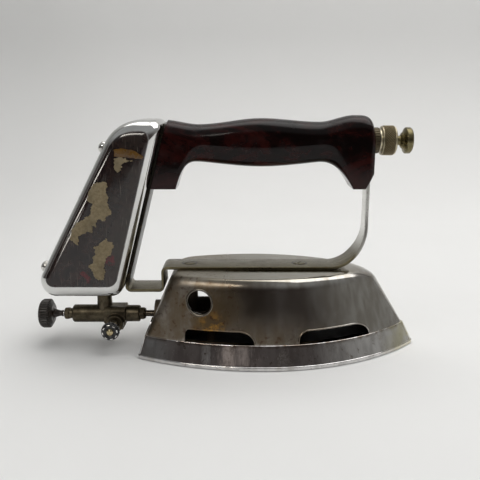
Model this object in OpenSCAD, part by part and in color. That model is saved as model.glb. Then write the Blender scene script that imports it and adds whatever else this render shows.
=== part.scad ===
// Self-heating gasoline iron: boat-shaped sole, vented shell, strap frame, handle with a built-in
// air pump, leaning fuel tank with a needle valve, and a ring burner. Millimetres, +Z up.
// The origin is the middle of the sole's ironing face, +X points to the sole's tip.

/* [Sole] */
// Length of the ironing face
sole_length = 195; // [185:1:205]
// Width of the ironing face
sole_width = 101; // [94:1:108]
// Width of the blunt rear end
sole_rear_width = 60; // [50:1:70]
// Widest place, measured from the middle of the length
sole_widest_x = -12; // [-20:1:-4]
// Height of the sole casting
sole_height = 16; // [14:0.5:18]
// Thickness of the casting under the burner
sole_floor = 8; // [6:0.5:10]
// Slope of the sides, as the set-in of the upper edge
sole_draft = 4; // [3:0.25:5]
// Slope of the tip, as the set-back of the upper edge
sole_tip_rake = 6; // [5:0.5:8]
// Width of the rim that carries the shell
sole_rim = 5; // [4:0.25:6]
// Height of the polished lip round the ironing face
lip_height = 3; // [2:0.25:4]
// How far the lip stands out
lip_out = 1.1; // [0.6:0.1:1.5]
// Radius of the tip in plan
tip_round = 6; // [5:0.5:8]
// Radius of the rear corners in plan
corner_round = 3; // [2:0.5:4]

/* [Shell] */
// Height of the shell above the sole
shell_height = 41.5; // [38:0.5:45]
// Sheet thickness
shell_wall = 1.2; // [1:0.1:1.5]
// Set-in of the shell from the sole's upper edge
shell_margin = 1.8; // [1.2:0.1:2.5]
// Lean of the side walls, as their set-in at the top
shell_lean = 8.2; // [6:0.2:10]
// Lean of the rear wall, as its set-in at the top
shell_rear_lean = 18.5; // [16:0.5:21]
// Lean of the nose, as its set-back at the top
shell_nose_lean = 25; // [22:0.5:28]
// Height of the rounding at the top edge
shell_round = 8; // [6:0.5:10]
// Diameter of the lighting holes
light_hole_d = 17; // [15:0.5:19]
// Place of the lighting holes along the shell
light_hole_x = -54.6; // [-58:0.1:-50]
// Height of the lighting holes above the sole
light_hole_rise = 25.9; // [24:0.1:28]
// Height of the vent slots
vent_height = 8.5; // [6:0.5:10]
// Extra height of the rear vent slot on the far side
vent_far_rise = 4; // [0:0.5:5]
// Length of the rear vent slots
vent_rear_length = 47; // [40:0.5:50]
// Length of the front vent slots
vent_front_length = 50; // [42:0.5:52]
// Left end of the rear vent slots
vent_rear_x = -64.8; // [-66:0.2:-60]
// Left end of the front vent slots
vent_front_x = 11; // [8:0.5:14]

/* [Burner] */
// Outer diameter of the mixing tube
mixer_d = 19.8; // [18:0.2:21]
// Wall of the mixing tube
mixer_wall = 2.4; // [2:0.1:3]
// How far the mixing tube stands out of the rear wall, at the valve's height
mixer_out = -0.6; // [-1:0.2:3]
// Diameter of the burner ring's tube
ring_d = 14; // [12:0.5:15]
// Wall of the burner ring
ring_wall = 2; // [1.5:0.1:2.5]
// Gap between the burner ring and the posts
ring_gap = 3.4; // [2.5:0.1:4.5]
// Ports on each side of the ring
ring_ports = 9; // [6:1:11]
// Diameter of a port
port_d = 2; // [1.6:0.1:2.4]

/* [Strap] */
// Width of the strap
strap_width = 22; // [20:0.5:24]
// Thickness of the strap
strap_thick = 2; // [1.6:0.1:2.4]
// Where the tank's front crosses the pump's axis
strap_rear_x = -81.4; // [-83:0.2:-79]
// Lean of the rear riser from upright, in degrees
strap_lean = 14.8; // [13:0.2:17]
// Height of the arm under the tank, at mid thickness
arm_height = 42.3; // [40:0.2:45]
// Place of the step up to the shell
jog_x = -81.4; // [-83:0.2:-81]
// Level and upright run of the slope in the front sweep
sweep_run = 16; // [15.6:0.2:22]
// Radius of the front sweep's lower bend, at mid thickness
sweep_low = 22; // [16:1:22]
// Radius of the front sweep's upper bend, at mid thickness
sweep_high = 31; // [24:1:31]
// Radius of the tight bends, at mid thickness
bend_radius = 3; // [2.6:0.2:3.6]
// Place of the rear strap screw
screw_rear_x = -63.4; // [-65:0.2:-62]
// Place of the front strap screw
screw_front_x = 14.3; // [12:0.2:16]
// Diameter of the strap screws
screw_d = 5; // [4:0.2:5.4]
// Diameter of the strap screw heads
screw_head_d = 9; // [8:0.2:10]

/* [Handle] */
// Length along the pump's axis
handle_length = 140.8; // [136:0.2:148]
// Width of the grip
grip_width = 27; // [25:0.5:30]
// Rise of the grip's belly above the pump's axis
grip_top = 14.8; // [13.5:0.1:16]
// Drop of the grip's belly below the pump's axis
grip_bottom = 16.9; // [15:0.1:19]
// Drop of the two feet below the pump's axis
foot_drop = 31.8; // [30:0.2:36]
// Length of the rear foot's flat end
rear_foot = 17; // [14:0.5:20]
// Length of the front foot's flat end
front_foot = 8.3; // [7.4:0.1:9.4]
// Distance of the front riser from the handle's front
riser_inset = 2.2; // [2.2:0.1:3.4]
// Height of the bevel along the underside
bevel_height = 11.5; // [8:0.5:12]
// Width of the bevel along the underside
bevel_width = 6.2; // [4:0.2:7]

/* [Pump] */
// Height of the pump's axis
pump_height = 145.4; // [140:0.2:150]
// Outer diameter of the pump barrel
barrel_d = 15; // [14:0.2:16]
// Wall of the pump barrel
barrel_wall = 1; // [0.8:0.1:1.4]
// How far the barrel reaches into the tank
barrel_reach = 12; // [10:0.5:16]
// Diameter of the knurled pump cap
cap_d = 20; // [18.5:0.5:22]
// Length of the knurled pump cap
cap_length = 10.2; // [9:0.2:12]
// Gap between the handle and the pump cap
cap_gap = 5.5; // [4.8:0.1:6.4]
// Thickness of the barrel ring nut
ring_nut_h = 4.4; // [3.6:0.1:4.6]
// Diameter of the pump rod
rod_d = 3.8; // [3.4:0.1:4.4]
// Diameter of the pump knob
pump_knob_d = 17.6; // [15:0.2:18.4]
// Length of the pump knob
pump_knob_length = 10; // [9:0.2:11]
// Gap between the pump cap and the pump knob
pump_knob_gap = 0.8; // [0.6:0.1:1.4]

/* [Tank] */
// Width across the two flat faces
tank_width = 50; // [46:1:54]
// Height of the tank's underside
tank_bottom = 41; // [39:0.5:43]
// Rise of the tank's top above the pump's axis
tank_crown = 14.3; // [13:0.1:16]
// Length of the tank along its underside, from the rear corner's centre to the front one's
tank_length = 37.1; // [34:0.1:40]
// Lean of the rear wall from upright, in degrees
tank_rear_lean = 28.25; // [26:0.25:29]
// Radius of the lower front corner
tank_corner = 9; // [8.6:0.2:10]
// Radius of the lower rear corner
tank_heel = 11; // [9:0.5:12]
// Radius of the upper rear corner
tank_shoulder = 27; // [22:0.5:30]
// Rounding between the flat faces and the edge
tank_edge = 8; // [6:0.2:8.4]
// Sheet thickness of the tank
tank_wall = 1.2; // [1:0.1:1.5]
// Diameter of the heel rest buttons
button_d = 8; // [6.5:0.25:9]
// Half the distance between the buttons of a pair
button_half = 13; // [10:0.5:14]
// Diameter of the filler plug's head
filler_d = 19; // [17:0.5:21]
// Height of the filler above the tank's underside
filler_rise = 87; // [80:0.5:92]
// Distance of the filler from the tank's front, level
filler_inset = 17.5; // [16:0.5:18.5]

/* [Valve] */
// Height of the valve's axis
valve_height = 21.7; // [20.5:0.1:23]
// Diameter of the valve barrel
valve_d = 12.7; // [12:0.1:13.5]
// Rear end of the valve barrel
valve_rear_x = -147.9; // [-150:0.1:-146]
// Middle of the valve block
block_x = -117.2; // [-118:0.1:-116.4]
// Length of the valve block
block_length = 15.2; // [14:0.1:15.6]
// Front end of the valve barrel
valve_front_x = -99.8; // [-101:0.1:-98.6]
// Distance of the outlet pipe from the centre of the tank's lower front corner
pipe_inset = 9.2; // [8:0.2:10]
// Diameter of the outlet pipe
pipe_d = 10.4; // [9.4:0.2:11]
// Diameter of the valve stems
stem_d = 3.2; // [2.8:0.1:3.6]
// Diameter of the fuel knob
fuel_knob_d = 20.8; // [19:0.2:22]
// Width of the fuel knob's rim
fuel_knob_rim = 9.4; // [8.4:0.2:10.4]
// Diameter of the lighting knob
light_knob_d = 13.8; // [12.6:0.2:15]
// Height of the lighting valve's axis below the fuel valve's
light_drop = 3.9; // [3.4:0.1:4.4]
// Outer diameter of the generator tube
generator_d = 4.5; // [4:0.1:5]

/* [Hidden] */
$fn = 64;

// Clearances
fit = 0.08;          // running fit of stems, rods and threads, on the radius
slip = 0.2;          // fixed pieces that slide together, on the radius or the side
through = 1;         // overrun of a cut past a face

// Levels and datums
shell_top = sole_height + shell_height;
strap_mid = shell_top + strap_thick / 2;
tank_top = pump_height + tank_crown;
handle_rear_x = strap_rear_x + strap_thick / cos(strap_lean);
handle_front_x = handle_rear_x + handle_length;
riser_x = handle_front_x - riser_inset;
light_x = block_x + 0.7;
light_z = valve_height - light_drop;

// Plan outline of the sole and the shell

// Points on an arc about centre, from angle a to angle b, leaving out the last
function arc(centre, radius, a, b, steps) =
    [for (i = [0 : steps - 1]) let (t = a + (b - a) * i / steps) centre + radius * [cos(t), sin(t)]];

// Half a boat outline, from the tip to the middle of the rear end, on the +Y side.
// p = [rear x, tip x, half width, half width at the rear, widest x, tip radius, corner radius]
function half_boat(p) =
    let (rear = p[0], tip = p[1], w = p[2], wr = p[3], wide = p[4], rt = p[5], rc = p[6])
    let (a = tip - rt - wide, front_r = (a * a + w * w - rt * rt) / (2 * (w - rt)))
    let (front_c = [wide, w - front_r], turn = atan2(front_r - w, a))
    let (b = wide - rear, rear_r = (b * b + (w - wr) * (w - wr)) / (2 * (w - wr)))
    let (rear_c = [wide, w - rear_r], cy = sqrt(pow(rear_r - rc, 2) - pow(b - rc, 2)) - rear_r + w)
    let (rear_turn = atan2(cy - w + rear_r, rc - b))
    concat(arc([tip - rt, 0], rt, 0, turn, 5),
        arc(front_c, front_r, turn, 90, 16),
        arc(rear_c, rear_r, 90, rear_turn, 12),
        arc([rear + rc, cy], rc, rear_turn, 180, 4),
        [[rear, cy]]);

// The whole boat outline at height z
function boat(p, z) =
    let (half = half_boat(p), n = len(half))
    concat([for (q = half) [q[0], q[1], z]],
        [for (i = [n - 1 : -1 : 1]) [half[i][0], -half[i][1], z]]);

// Solid through sections that have the same number of points, closed by its first and last section
module loft(sections) {
    n = len(sections[0]);
    m = len(sections);
    walls = [for (i = [0 : m - 2], j = [0 : n - 1])
        let (a = i * n + j, b = i * n + (j + 1) % n)
        each [[a, a + n, b], [b, a + n, b + n]]];
    ends = [[for (j = [0 : n - 1]) j], [for (j = [0 : n - 1]) m * n - 1 - j]];
    polyhedron([for (s = sections) each s], concat(walls, ends), convexity = 8);
}

// Sole

// Outline of the sole set in by d, with the tip set back by its rake
function sole_outline(d) =
    [-sole_length / 2 + d, sole_length / 2 - d * sole_tip_rake / sole_draft, sole_width / 2 - d,
        sole_rear_width / 2 - d * 0.4, sole_widest_x, max(tip_round - d * 0.6, 1.5), corner_round];

module sole_plate() {
    edge = 0.6;
    inner = sole_draft + edge + sole_rim;
    color("silver") difference() {
        union() {
            loft([boat(sole_outline(edge), 0), boat(sole_outline(0), edge),
                boat(sole_outline(0), lip_height - edge / 2),
                boat(sole_outline(edge / 2), lip_height),
                boat(sole_outline(lip_out), lip_height + edge / 4),
                boat(sole_outline(sole_draft), sole_height - edge),
                boat(sole_outline(sole_draft + edge), sole_height),
                boat(sole_outline(inner), sole_height),
                boat(sole_outline(inner + edge), sole_floor)]);
            for (x = [screw_rear_x, screw_front_x])
                translate([x, 0, sole_floor - through])
                    cylinder(d = post_d, h = shell_top - shell_wall - sole_floor + through);
        }
        // screw holes in the posts
        for (x = [screw_rear_x, screw_front_x])
            translate([x, 0, shell_top - screw_grip]) cylinder(d = screw_d + 2 * fit, h = screw_grip);
        // saddle for the mixing tube in the rear rim
        along_x(-sole_length / 2 - through, valve_height)
            cylinder(d = mixer_d + 2 * fit, h = inner + 4 * through);
    }
}

post_d = 11;
screw_grip = 26;

// Lays a piece drawn along +Z onto the X axis, starting at x, at height z
module along_x(x, z) {
    translate([x, 0, z]) rotate([0, 90, 0]) children();
}

// Shell

shell_set = sole_draft + shell_margin;
nose_round = 15;     // level set-back of the rounding at the nose
side_round = 4;      // level set-in of the rounding at the sides
rear_round = 3;      // level set-in of the rounding at the rear

// Outline of the shell: up runs from 0 at the sole to 1 at the top, round from 0 to 1 over the
// rounded edge, and wall sets the outline in by the sheet
function shell_outline(up, round, wall) =
    let (s = sole_outline(shell_set))
    [s[0] + up * shell_rear_lean + round * rear_round + wall,
        s[1] - up * shell_nose_lean - round * nose_round - wall * 1.4,
        s[2] - up * shell_lean - round * side_round - wall,
        s[3] - up * 1.5 - round * side_round - wall,
        sole_widest_x - up * 6,
        4 + up * 10 + round * 4, 6 + up * 5 + round * 2];

// The shell's skin, from the sole up to the flat top, set in by wall
function shell_skin(wall, steps) =
    let (straight = shell_height - shell_round, h = shell_round - wall)
    concat([for (i = [0 : 3]) let (k = i / 3 * straight / shell_height)
            boat(shell_outline(k, 0, wall), sole_height + k * shell_height)],
        [for (i = [1 : steps]) let (a = 90 * i / steps, k = (straight + h * sin(a)) / shell_height)
            boat(shell_outline(k, 1 - cos(a), wall), sole_height + k * shell_height)]);

// Outline of a vent slot, with its left end at x = 0 on the sole's upper face: a round corner at
// the left, and a right end that runs out in a quarter of an ellipse
function vent_outline(length, height, corner, run_out) =
    concat([[0, -through], [length, -through]],
        [for (a = [0 : 7.5 : 90]) [length - run_out * (1 - cos(a)), height * sin(a)]],
        [for (a = [90 : 15 : 180]) [corner + corner * cos(a), height - corner + corner * sin(a)]]);

// Cut of a vent slot from the +Y side, with its left end at x
module vent_cut(x, outline, deep) {
    translate([x, sole_width / 2, sole_height]) rotate([90, 0, 0]) linear_extrude(deep) polygon(outline);
}

module body_shell() {
    inner = shell_skin(shell_wall, 5);
    outer = shell_skin(0, 7);
    color("lightslategray") difference() {
        loft(concat([for (i = [len(inner) - 1 : -1 : 0]) inner[i]], outer));
        // lighting holes, right through both sides
        translate([light_hole_x, sole_width / 2, sole_height + light_hole_rise])
            rotate([90, 0, 0]) cylinder(d = light_hole_d, h = sole_width);
        // vent slots, through both sides, with the far rear one higher
        vent_cut(vent_rear_x, vent_outline(vent_rear_length, vent_height, 4, 11.5), sole_width);
        vent_cut(vent_rear_x, vent_outline(vent_rear_length, vent_height + vent_far_rise, 4, 11.5),
            sole_width / 2);
        vent_cut(vent_front_x, vent_outline(vent_front_length, vent_height, 7, 13), sole_width);
        // arch over the mixing tube
        along_x(-sole_length / 2, valve_height) cylinder(d = mixer_d + 2 * slip, h = sole_length / 4);
        for (x = [screw_rear_x, screw_front_x])
            translate([x, 0, shell_top - shell_wall - through])
                cylinder(d = screw_d + 2 * slip, h = shell_wall + 2 * through);
    }
}

// Burner

ring_half = post_d / 2 + ring_gap + ring_d / 2;     // level distance from the axis to the ring's middle
ring_run = screw_front_x - screw_rear_x;
mixer_rear_x = sole_outline(shell_set)[0] + (valve_height - sole_height) * shell_rear_lean / shell_height
    - mixer_out;

// Stadium-shaped ring of round section, about the two posts
module ring(d) {
    for (x = [0, 1]) translate([screw_rear_x + x * ring_run, 0, 0]) rotate([0, 0, x * 180 + 90])
        rotate_extrude(angle = 180) translate([ring_half, 0]) circle(d = d);
    for (side = [-1, 1]) translate([screw_rear_x, side * ring_half, 0])
        rotate([0, 90, 0]) cylinder(d = d, h = ring_run);
}

module burner() {
    foot_d = 6;
    mixer_end = screw_rear_x - ring_half;
    color("dimgray") difference() {
        union() {
            translate([0, 0, valve_height]) ring(ring_d);
            along_x(mixer_rear_x, valve_height) cylinder(d = mixer_d, h = mixer_end - mixer_rear_x);
            for (x = [screw_rear_x + ring_run / 5, screw_front_x - ring_run / 5], side = [-1, 1])
                translate([x, side * ring_half, sole_floor])
                    cylinder(d = foot_d, h = valve_height - sole_floor);
        }
        translate([0, 0, valve_height]) ring(ring_d - 2 * ring_wall);
        along_x(mixer_rear_x - through, valve_height)
            cylinder(d = mixer_d - 2 * mixer_wall, h = mixer_end - mixer_rear_x + through);
        for (i = [1 : ring_ports], side = [-1, 1])
            translate([screw_rear_x + ring_run * i / (ring_ports + 1), side * ring_half, valve_height])
                cylinder(d = port_d, h = ring_d);
    }
}

// Strap

// Where the tank's front is at height z
function front_x(z) = strap_rear_x + (z - pump_height) * tan(strap_lean);

strap_rear_top = pump_height + 11.5;
strap_front_top = pump_height + 10.5;
half_thick = strap_thick / 2;
riser_mid = half_thick / cos(strap_lean);
strap_path = [[front_x(strap_rear_top) + riser_mid, strap_rear_top],
    [front_x(arm_height) + riser_mid, arm_height], [jog_x, arm_height], [jog_x, strap_mid],
    [riser_x - sweep_run, strap_mid], [riser_x, strap_mid + sweep_run], [riser_x, strap_front_top]];
strap_bends = [0, bend_radius, bend_radius, bend_radius, sweep_low, sweep_high, 0];

function unit(v) = v / norm(v);
function left_of(v) = [-v[1], v[0]];
function turned(v, a) = [v[0] * cos(a) - v[1] * sin(a), v[0] * sin(a) + v[1] * cos(a)];

// One edge of a bar bent along a path, off to the left of it, with a bend radius for each point
function bar_edge(path, bends, off) =
    let (last = len(path) - 1, steps = 12)
    [for (i = [0 : last])
        let (u = unit(path[max(i, 1)] - path[max(i, 1) - 1]))
        let (v = unit(path[min(i, last - 1) + 1] - path[min(i, last - 1)]))
        let (side = sign(u[0] * v[1] - u[1] * v[0]), turn = acos(max(-1, min(1, u * v))))
        let (centre = path[i] - u * bends[i] * tan(turn / 2) + side * bends[i] * left_of(u))
        let (d = -side * left_of(u))
        each (bends[i] == 0 ? [path[i] + off * left_of(i == 0 ? v : u)]
            : [for (k = [0 : steps]) centre + (bends[i] - side * off) * turned(d, side * turn * k / steps)])];

function reversed(list) = [for (i = [len(list) - 1 : -1 : 0]) list[i]];

// Side view of a bar bent along a path
module bent_bar(path, bends, thick) {
    polygon(concat(bar_edge(path, bends, thick / 2), reversed(bar_edge(path, bends, -thick / 2))));
}

module strap() {
    color("gray") difference() {
        translate([0, strap_width / 2, 0]) rotate([90, 0, 0])
            linear_extrude(strap_width) bent_bar(strap_path, strap_bends, strap_thick);
        // holes for the pump barrel in both risers
        along_x(strap_rear_x - sole_width / 4, pump_height)
            cylinder(d = barrel_d + 2 * slip, h = handle_length + sole_width);
        // countersunk screw holes
        for (x = [screw_rear_x, screw_front_x]) translate([x, 0, shell_top]) {
            translate([0, 0, -through]) cylinder(d = screw_d + 2 * slip, h = strap_thick + 2 * through);
            cylinder(d1 = screw_d + 2 * slip, d2 = screw_head_d + 2 * slip, h = strap_thick);
        }
    }
}

module strap_screws() {
    slot_w = 1.1;
    slot_deep = 0.9;
    shank = screw_grip - 1;
    color("darkgray") for (x = [screw_rear_x, screw_front_x]) translate([x, 0, shell_top])
        difference() {
            union() {
                translate([0, 0, -shank]) cylinder(d = screw_d, h = shank);
                cylinder(d1 = screw_d, d2 = screw_head_d, h = strap_thick);
                translate([0, 0, strap_thick]) cylinder(d = screw_head_d, h = 0.4);
            }
            rotate([0, 0, 35]) translate([-screw_head_d, -slot_w / 2, strap_thick + 0.4 - slot_deep])
                cube([2 * screw_head_d, slot_w, slot_deep + through]);
        }
}

// Handle

// Smooth step from 0 to 1
function ease(t) = let (c = min(1, max(0, t))) c * c * (3 - 2 * c);

// Smooth curve through [x, value] knots, level at each knot
function through_knots(knots, x) =
    x <= knots[0][0] ? knots[0][1] : x >= knots[len(knots) - 1][0] ? knots[len(knots) - 1][1] :
    let (i = [for (k = [0 : len(knots) - 2]) if (x >= knots[k][0] && x < knots[k + 1][0]) k][0])
    let (a = knots[i], b = knots[i + 1]) a[1] + (b[1] - a[1]) * ease((x - a[0]) / (b[0] - a[0]));

waist = 4;                   // dip of the grip's two waists below its belly, on top
crest = 2;                   // rise of the front crest above the belly
crest_back = 12.5;             // distance of the front crest from the handle's front
waist_rear = 24;             // distance of the rear waist from the handle's rear
waist_front = 23.5;            // distance of the front waist from the front crest
hollow = 4.1;                // rise of the underside from the belly to its two ends
rear_sweep = 16;             // level length of the curve from the grip to the rear foot
front_sweep = 24;            // level length of the curve from the grip to the front foot
toe = [5, 9];                // cut-off corner under the front foot, level and upright
bevel_rear = [5, 14];        // where the bevel begins after the rear foot, and how far it grows
bevel_front = [4.4, 11.4];   // where the bevel ends before the front foot, and how far it fades
rear_foot_x = front_x(pump_height - foot_drop) + strap_thick / cos(strap_lean) + rear_foot;
front_foot_x = handle_front_x - toe[0] - front_foot;
belly_x = (rear_foot_x + front_foot_x) / 2 - 2;
belly_half = (front_foot_x - rear_foot_x) / 2;

// Height of the handle's top above the pump's axis
function handle_top(x) =
    let (peak = handle_front_x - crest_back, out = max(0, min(1, (x - peak) / crest_back)))
    through_knots([[handle_rear_x, grip_top - 1], [handle_rear_x + waist_rear, grip_top - waist],
        [belly_x, grip_top], [peak - waist_front, grip_top - waist * 0.6], [peak, grip_top + crest]], x)
    - 9.6 * (1 - sqrt(1 - 0.97 * pow(out, 4)));

// Height of the handle's underside above the pump's axis
function handle_underside(x) =
    let (rear = max(0, min(1, (rear_foot_x + rear_sweep - x) / rear_sweep)))
    let (front = max(0, min(1, (x - front_foot_x + front_sweep) / front_sweep)))
    let (grip = -grip_bottom + hollow * ease(abs(x - belly_x) / belly_half))
    let (nose = max(0, (x - handle_front_x + toe[0]) / toe[0]))
    grip + (-foot_drop - grip) * max(pow(rear, 3.2), pow(front, 2.3)) + toe[1] * nose;

// Section of the handle at x, from the top over the +Y side to the underside and back
function handle_section(x) =
    let (top = handle_top(x), low = handle_underside(x), shoulder = 10.5)
    let (end = max(0, (x - handle_front_x + 3) / 3))
    let (half = grip_width / 2 - 0.8 + 0.8 * ease(1 - abs(x - belly_x) / belly_half) - 1.6 * end * end)
    let (from_rear = (x - rear_foot_x - bevel_rear[0]) / bevel_rear[1])
    let (from_front = (front_foot_x - bevel_front[0] - x) / bevel_front[1])
    let (flat = sin(90 * max(0, min(1, from_rear))) * sin(90 * max(0, min(1, from_front))))
    let (bevel = 1.5 + (bevel_height - 1.5) * flat)
    let (inset = 1 + (bevel_width - 1) * flat)
    let (side = concat(
        [for (a = [15 : 15 : 90]) [half * pow(sin(a), 0.85), top - shoulder * (1 - cos(a))]],
        [[half, low + bevel], [half - inset * 0.35, low + bevel * 0.45],
            [half - inset * 0.75, low + bevel * 0.12], [half - inset - 1.2, low]]))
    concat([[x, 0, pump_height + top]], [for (q = side) [x, q[0], pump_height + q[1]]],
        [for (i = [len(side) - 1 : -1 : 0]) [x, -side[i][0], pump_height + side[i][1]]]);

// Half space behind the strap's rear riser, leaning with it
module behind_riser(offset) {
    big = 300;
    translate([strap_rear_x + offset / cos(strap_lean), 0, pump_height]) rotate([0, strap_lean, 0])
        translate([-big, -big / 2, -big / 2]) cube(big);
}

module handle() {
    start = front_x(pump_height - foot_drop) - 2;
    run = handle_front_x - start;
    steps = 52;
    // stations close up towards both ends, where the feet and the rounded front are
    stations = [for (i = [0 : steps]) start + run * (i / steps - 0.08 * sin(360 * i / steps))];
    color("#2e1416") difference() {
        loft([for (x = stations) handle_section(x)]);
        behind_riser(strap_thick);
        along_x(start - through, pump_height)
            cylinder(d = barrel_d + 2 * slip, h = run + 2 * through);
        // slot for the strap's front riser, open below
        translate([riser_x - half_thick - slip, -strap_width / 2 - slip, pump_height - foot_drop - through])
            cube([strap_thick + 2 * slip, strap_width + 2 * slip,
                strap_front_top + slip - pump_height + foot_drop + through]);
    }
}

// Pump

barrel_rear_x = strap_rear_x - barrel_reach;
cap_x = handle_front_x + cap_gap;
cap_front_x = cap_x + cap_length;
cap_end_wall = 3.2;
barrel_front_x = cap_front_x - cap_end_wall - slip;
bore_d = barrel_d - 2 * barrel_wall;
knob_x = cap_front_x + pump_knob_gap;
plug_length = 6;             // check valve plug inside the barrel
cup_x = barrel_rear_x + plug_length + 7;
cup_length = 6;
rod_thread = 4;              // rod end behind the cup

module pump_barrel() {
    color("darkkhaki") along_x(barrel_rear_x, pump_height) difference() {
        cylinder(d = barrel_d, h = barrel_front_x - barrel_rear_x);
        translate([0, 0, -through]) cylinder(d = bore_d, h = barrel_front_x - barrel_rear_x + 2 * through);
    }
}

module barrel_ring_nut() {
    color("darkkhaki") along_x(handle_front_x, pump_height) difference() {
        cylinder(d = barrel_d + 2.4, h = ring_nut_h);
        translate([0, 0, -through]) cylinder(d = barrel_d + 2 * fit, h = ring_nut_h + 2 * through);
    }
}

// Knurled cap: a bead at each end and a band set in between them
module pump_cap() {
    bead = 1.6;
    r = cap_d / 2;
    color("darkkhaki") along_x(cap_x, pump_height) difference() {
        rotate_extrude() polygon([[0, 0], [r - 1.4, 0], [r - 0.3, bead / 2], [r - 0.3, bead],
            [r - 0.5, bead], [r, bead + 0.8], [r, cap_length - bead - 0.8], [r - 0.7, cap_length - bead],
            [r - 0.6, cap_length - bead / 2], [r - 1.8, cap_length], [0, cap_length]]);
        translate([0, 0, -through])
            cylinder(d = barrel_d + 2 * fit, h = cap_length - cap_end_wall + through);
        cylinder(d = rod_d + 2 * fit, h = cap_length + through);
    }
}

module pump_rod() {
    start = cup_x - rod_thread;
    color("silver") along_x(start, pump_height) cylinder(d = rod_d, h = knob_x + 4 - start);
}

// Knob with a plain shank, a waisted neck and a flat, slightly crowned disc
module pump_knob() {
    r = pump_knob_d / 2;
    l = pump_knob_length;
    shank = [3.1, 2.6];
    neck = r * 0.56;
    color("darkkhaki") along_x(knob_x, pump_height) difference() {
        rotate_extrude() polygon([[0, 0], [shank[0], 0], shank, [neck, shank[1] + 0.5], [neck, l * 0.42],
            [r * 0.75, l * 0.53], [r - 0.5, l * 0.6], [r, l * 0.65], [r, l * 0.88], [r - 0.9, l * 0.97],
            [r * 0.5, l], [0, l]]);
        translate([0, 0, -through]) cylinder(d = rod_d, h = through + 4);
    }
}

// Leather cup, open towards the tank
module pump_cup() {
    r = bore_d / 2 - fit;
    leather = 1.3;
    color("saddlebrown") along_x(cup_x, pump_height) difference() {
        cylinder(r = r, h = cup_length);
        translate([0, 0, -through]) cylinder(r = r - leather, h = cup_length - leather + through);
        cylinder(d = rod_d, h = cup_length + through);
    }
}

// Nut on the rod's end, holding the cup against a backing washer in front of it
module cup_retainer() {
    nut = 3;
    leather = 1.3;
    color("darkkhaki") along_x(cup_x, pump_height) difference() {
        union() {
            translate([0, 0, cup_length]) cylinder(d = bore_d - 1, h = 1);
            translate([0, 0, cup_length - leather - nut]) cylinder(d = 8, h = nut, $fn = 6);
        }
        translate([0, 0, -through]) cylinder(d = rod_d, h = cup_length + 2 + through);
    }
}

ball_d = 3.2;
ball_lift = 1;

// Plug in the barrel's rear end, with a seat, a ball chamber and a vent
module check_valve() {
    flange = 2;
    chamber = ball_d + ball_lift + 0.2;
    color("darkkhaki") along_x(barrel_rear_x, pump_height) difference() {
        union() {
            translate([0, 0, -flange]) cylinder(d = barrel_d, h = flange);
            cylinder(d = bore_d - 2 * fit, h = plug_length);
        }
        translate([0, 0, -flange - through])
            cylinder(d = ball_d - 1, h = flange + plug_length + 2 * through);
        translate([0, 0, -flange + 1]) cylinder(d = ball_d + 2 * fit, h = chamber);
    }
}

module check_ball() {
    seat = barrel_rear_x - 1 + ball_lift + 0.1 + ball_d / 2;
    color("silver") translate([seat, 0, pump_height]) sphere(d = ball_d);
}

// Tank

plate_thick = 1.6;
rear_dir = [sin(tank_rear_lean), cos(tank_rear_lean)];
corner_z = tank_bottom + tank_corner;
front_corner = [front_x(corner_z) - tank_corner / cos(strap_lean), corner_z];
rear_corner = [front_corner[0] - tank_length, tank_bottom + tank_heel];
pipe_x = front_corner[0] - pipe_inset;
// a point on the rear wall, and the shoulder's centre that touches both the wall and the top
rear_point = rear_corner + tank_heel * [-rear_dir[1], rear_dir[0]];
shoulder_z = tank_top - tank_shoulder;
shoulder_x = rear_point[0] + tank_shoulder / rear_dir[1]
    + (shoulder_z - rear_point[1]) * rear_dir[0] / rear_dir[1];
nose_corner = [strap_rear_x + 14, tank_top - tank_edge - 2];

// Disc across the tank with rounded rims, set in by wall
module tank_disc(at, r, wall) {
    edge = tank_edge - wall;
    half = tank_width / 2 - wall;
    translate([at[0], 0, at[1]]) rotate([90, 0, 0]) rotate_extrude($fn = 48) difference() {
        translate([0, -half]) square([r - wall, 2 * half]);
        for (side = [-1, 1]) translate([r - wall - edge, side * (half - edge)]) difference() {
            translate([0, side > 0 ? 0 : -edge - 1]) square(edge + 1);
            circle(edge, $fn = 32);
        }
    }
}

module tank_volume(wall) {
    hull() {
        tank_disc(rear_corner, tank_heel, wall);
        tank_disc(front_corner, tank_corner, wall);
        tank_disc([shoulder_x, shoulder_z], tank_shoulder, wall);
        tank_disc(nose_corner, tank_edge + 2, wall);
    }
}

module tank_shell() {
    color("gainsboro") difference() {
        tank_volume(0);
        tank_volume(tank_wall);
        in_front_of_tank(plate_thick);
        filler_place() translate([0, 0, -tank_edge]) cylinder(d = filler_bush_d, h = tank_width / 2);
        translate([pipe_x, 0, tank_bottom - through]) cylinder(d = pipe_neck_d + 2 * slip, h = tank_corner);
        button_places() translate([0, 0, -tank_corner]) cylinder(d = rivet_d + 2 * fit, h = 2 * tank_corner);
    }
}

// Half space in front of a plane parallel to the tank's front, set back by depth
module in_front_of_tank(depth) {
    big = 300;
    translate([strap_rear_x - depth / cos(strap_lean), 0, pump_height]) rotate([0, strap_lean, 0])
        translate([0, -big / 2, -big / 2]) cube(big);
}

module tank_front() {
    color("gainsboro") difference() {
        intersection() {
            tank_volume(0);
            in_front_of_tank(plate_thick);
        }
        in_front_of_tank(0);
        along_x(barrel_rear_x, pump_height) cylinder(d = barrel_d + 2 * slip, h = 2 * barrel_reach);
    }
}

module tank_pump_bush() {
    color("darkkhaki") difference() {
        along_x(barrel_rear_x + 1, pump_height) cylinder(d = barrel_d + 6, h = 2 * barrel_reach);
        along_x(barrel_rear_x, pump_height) cylinder(d = barrel_d + 2 * fit, h = 3 * barrel_reach);
        in_front_of_tank(plate_thick);
    }
}

pipe_neck_d = 7;
outlet_bush_h = 4;

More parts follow.
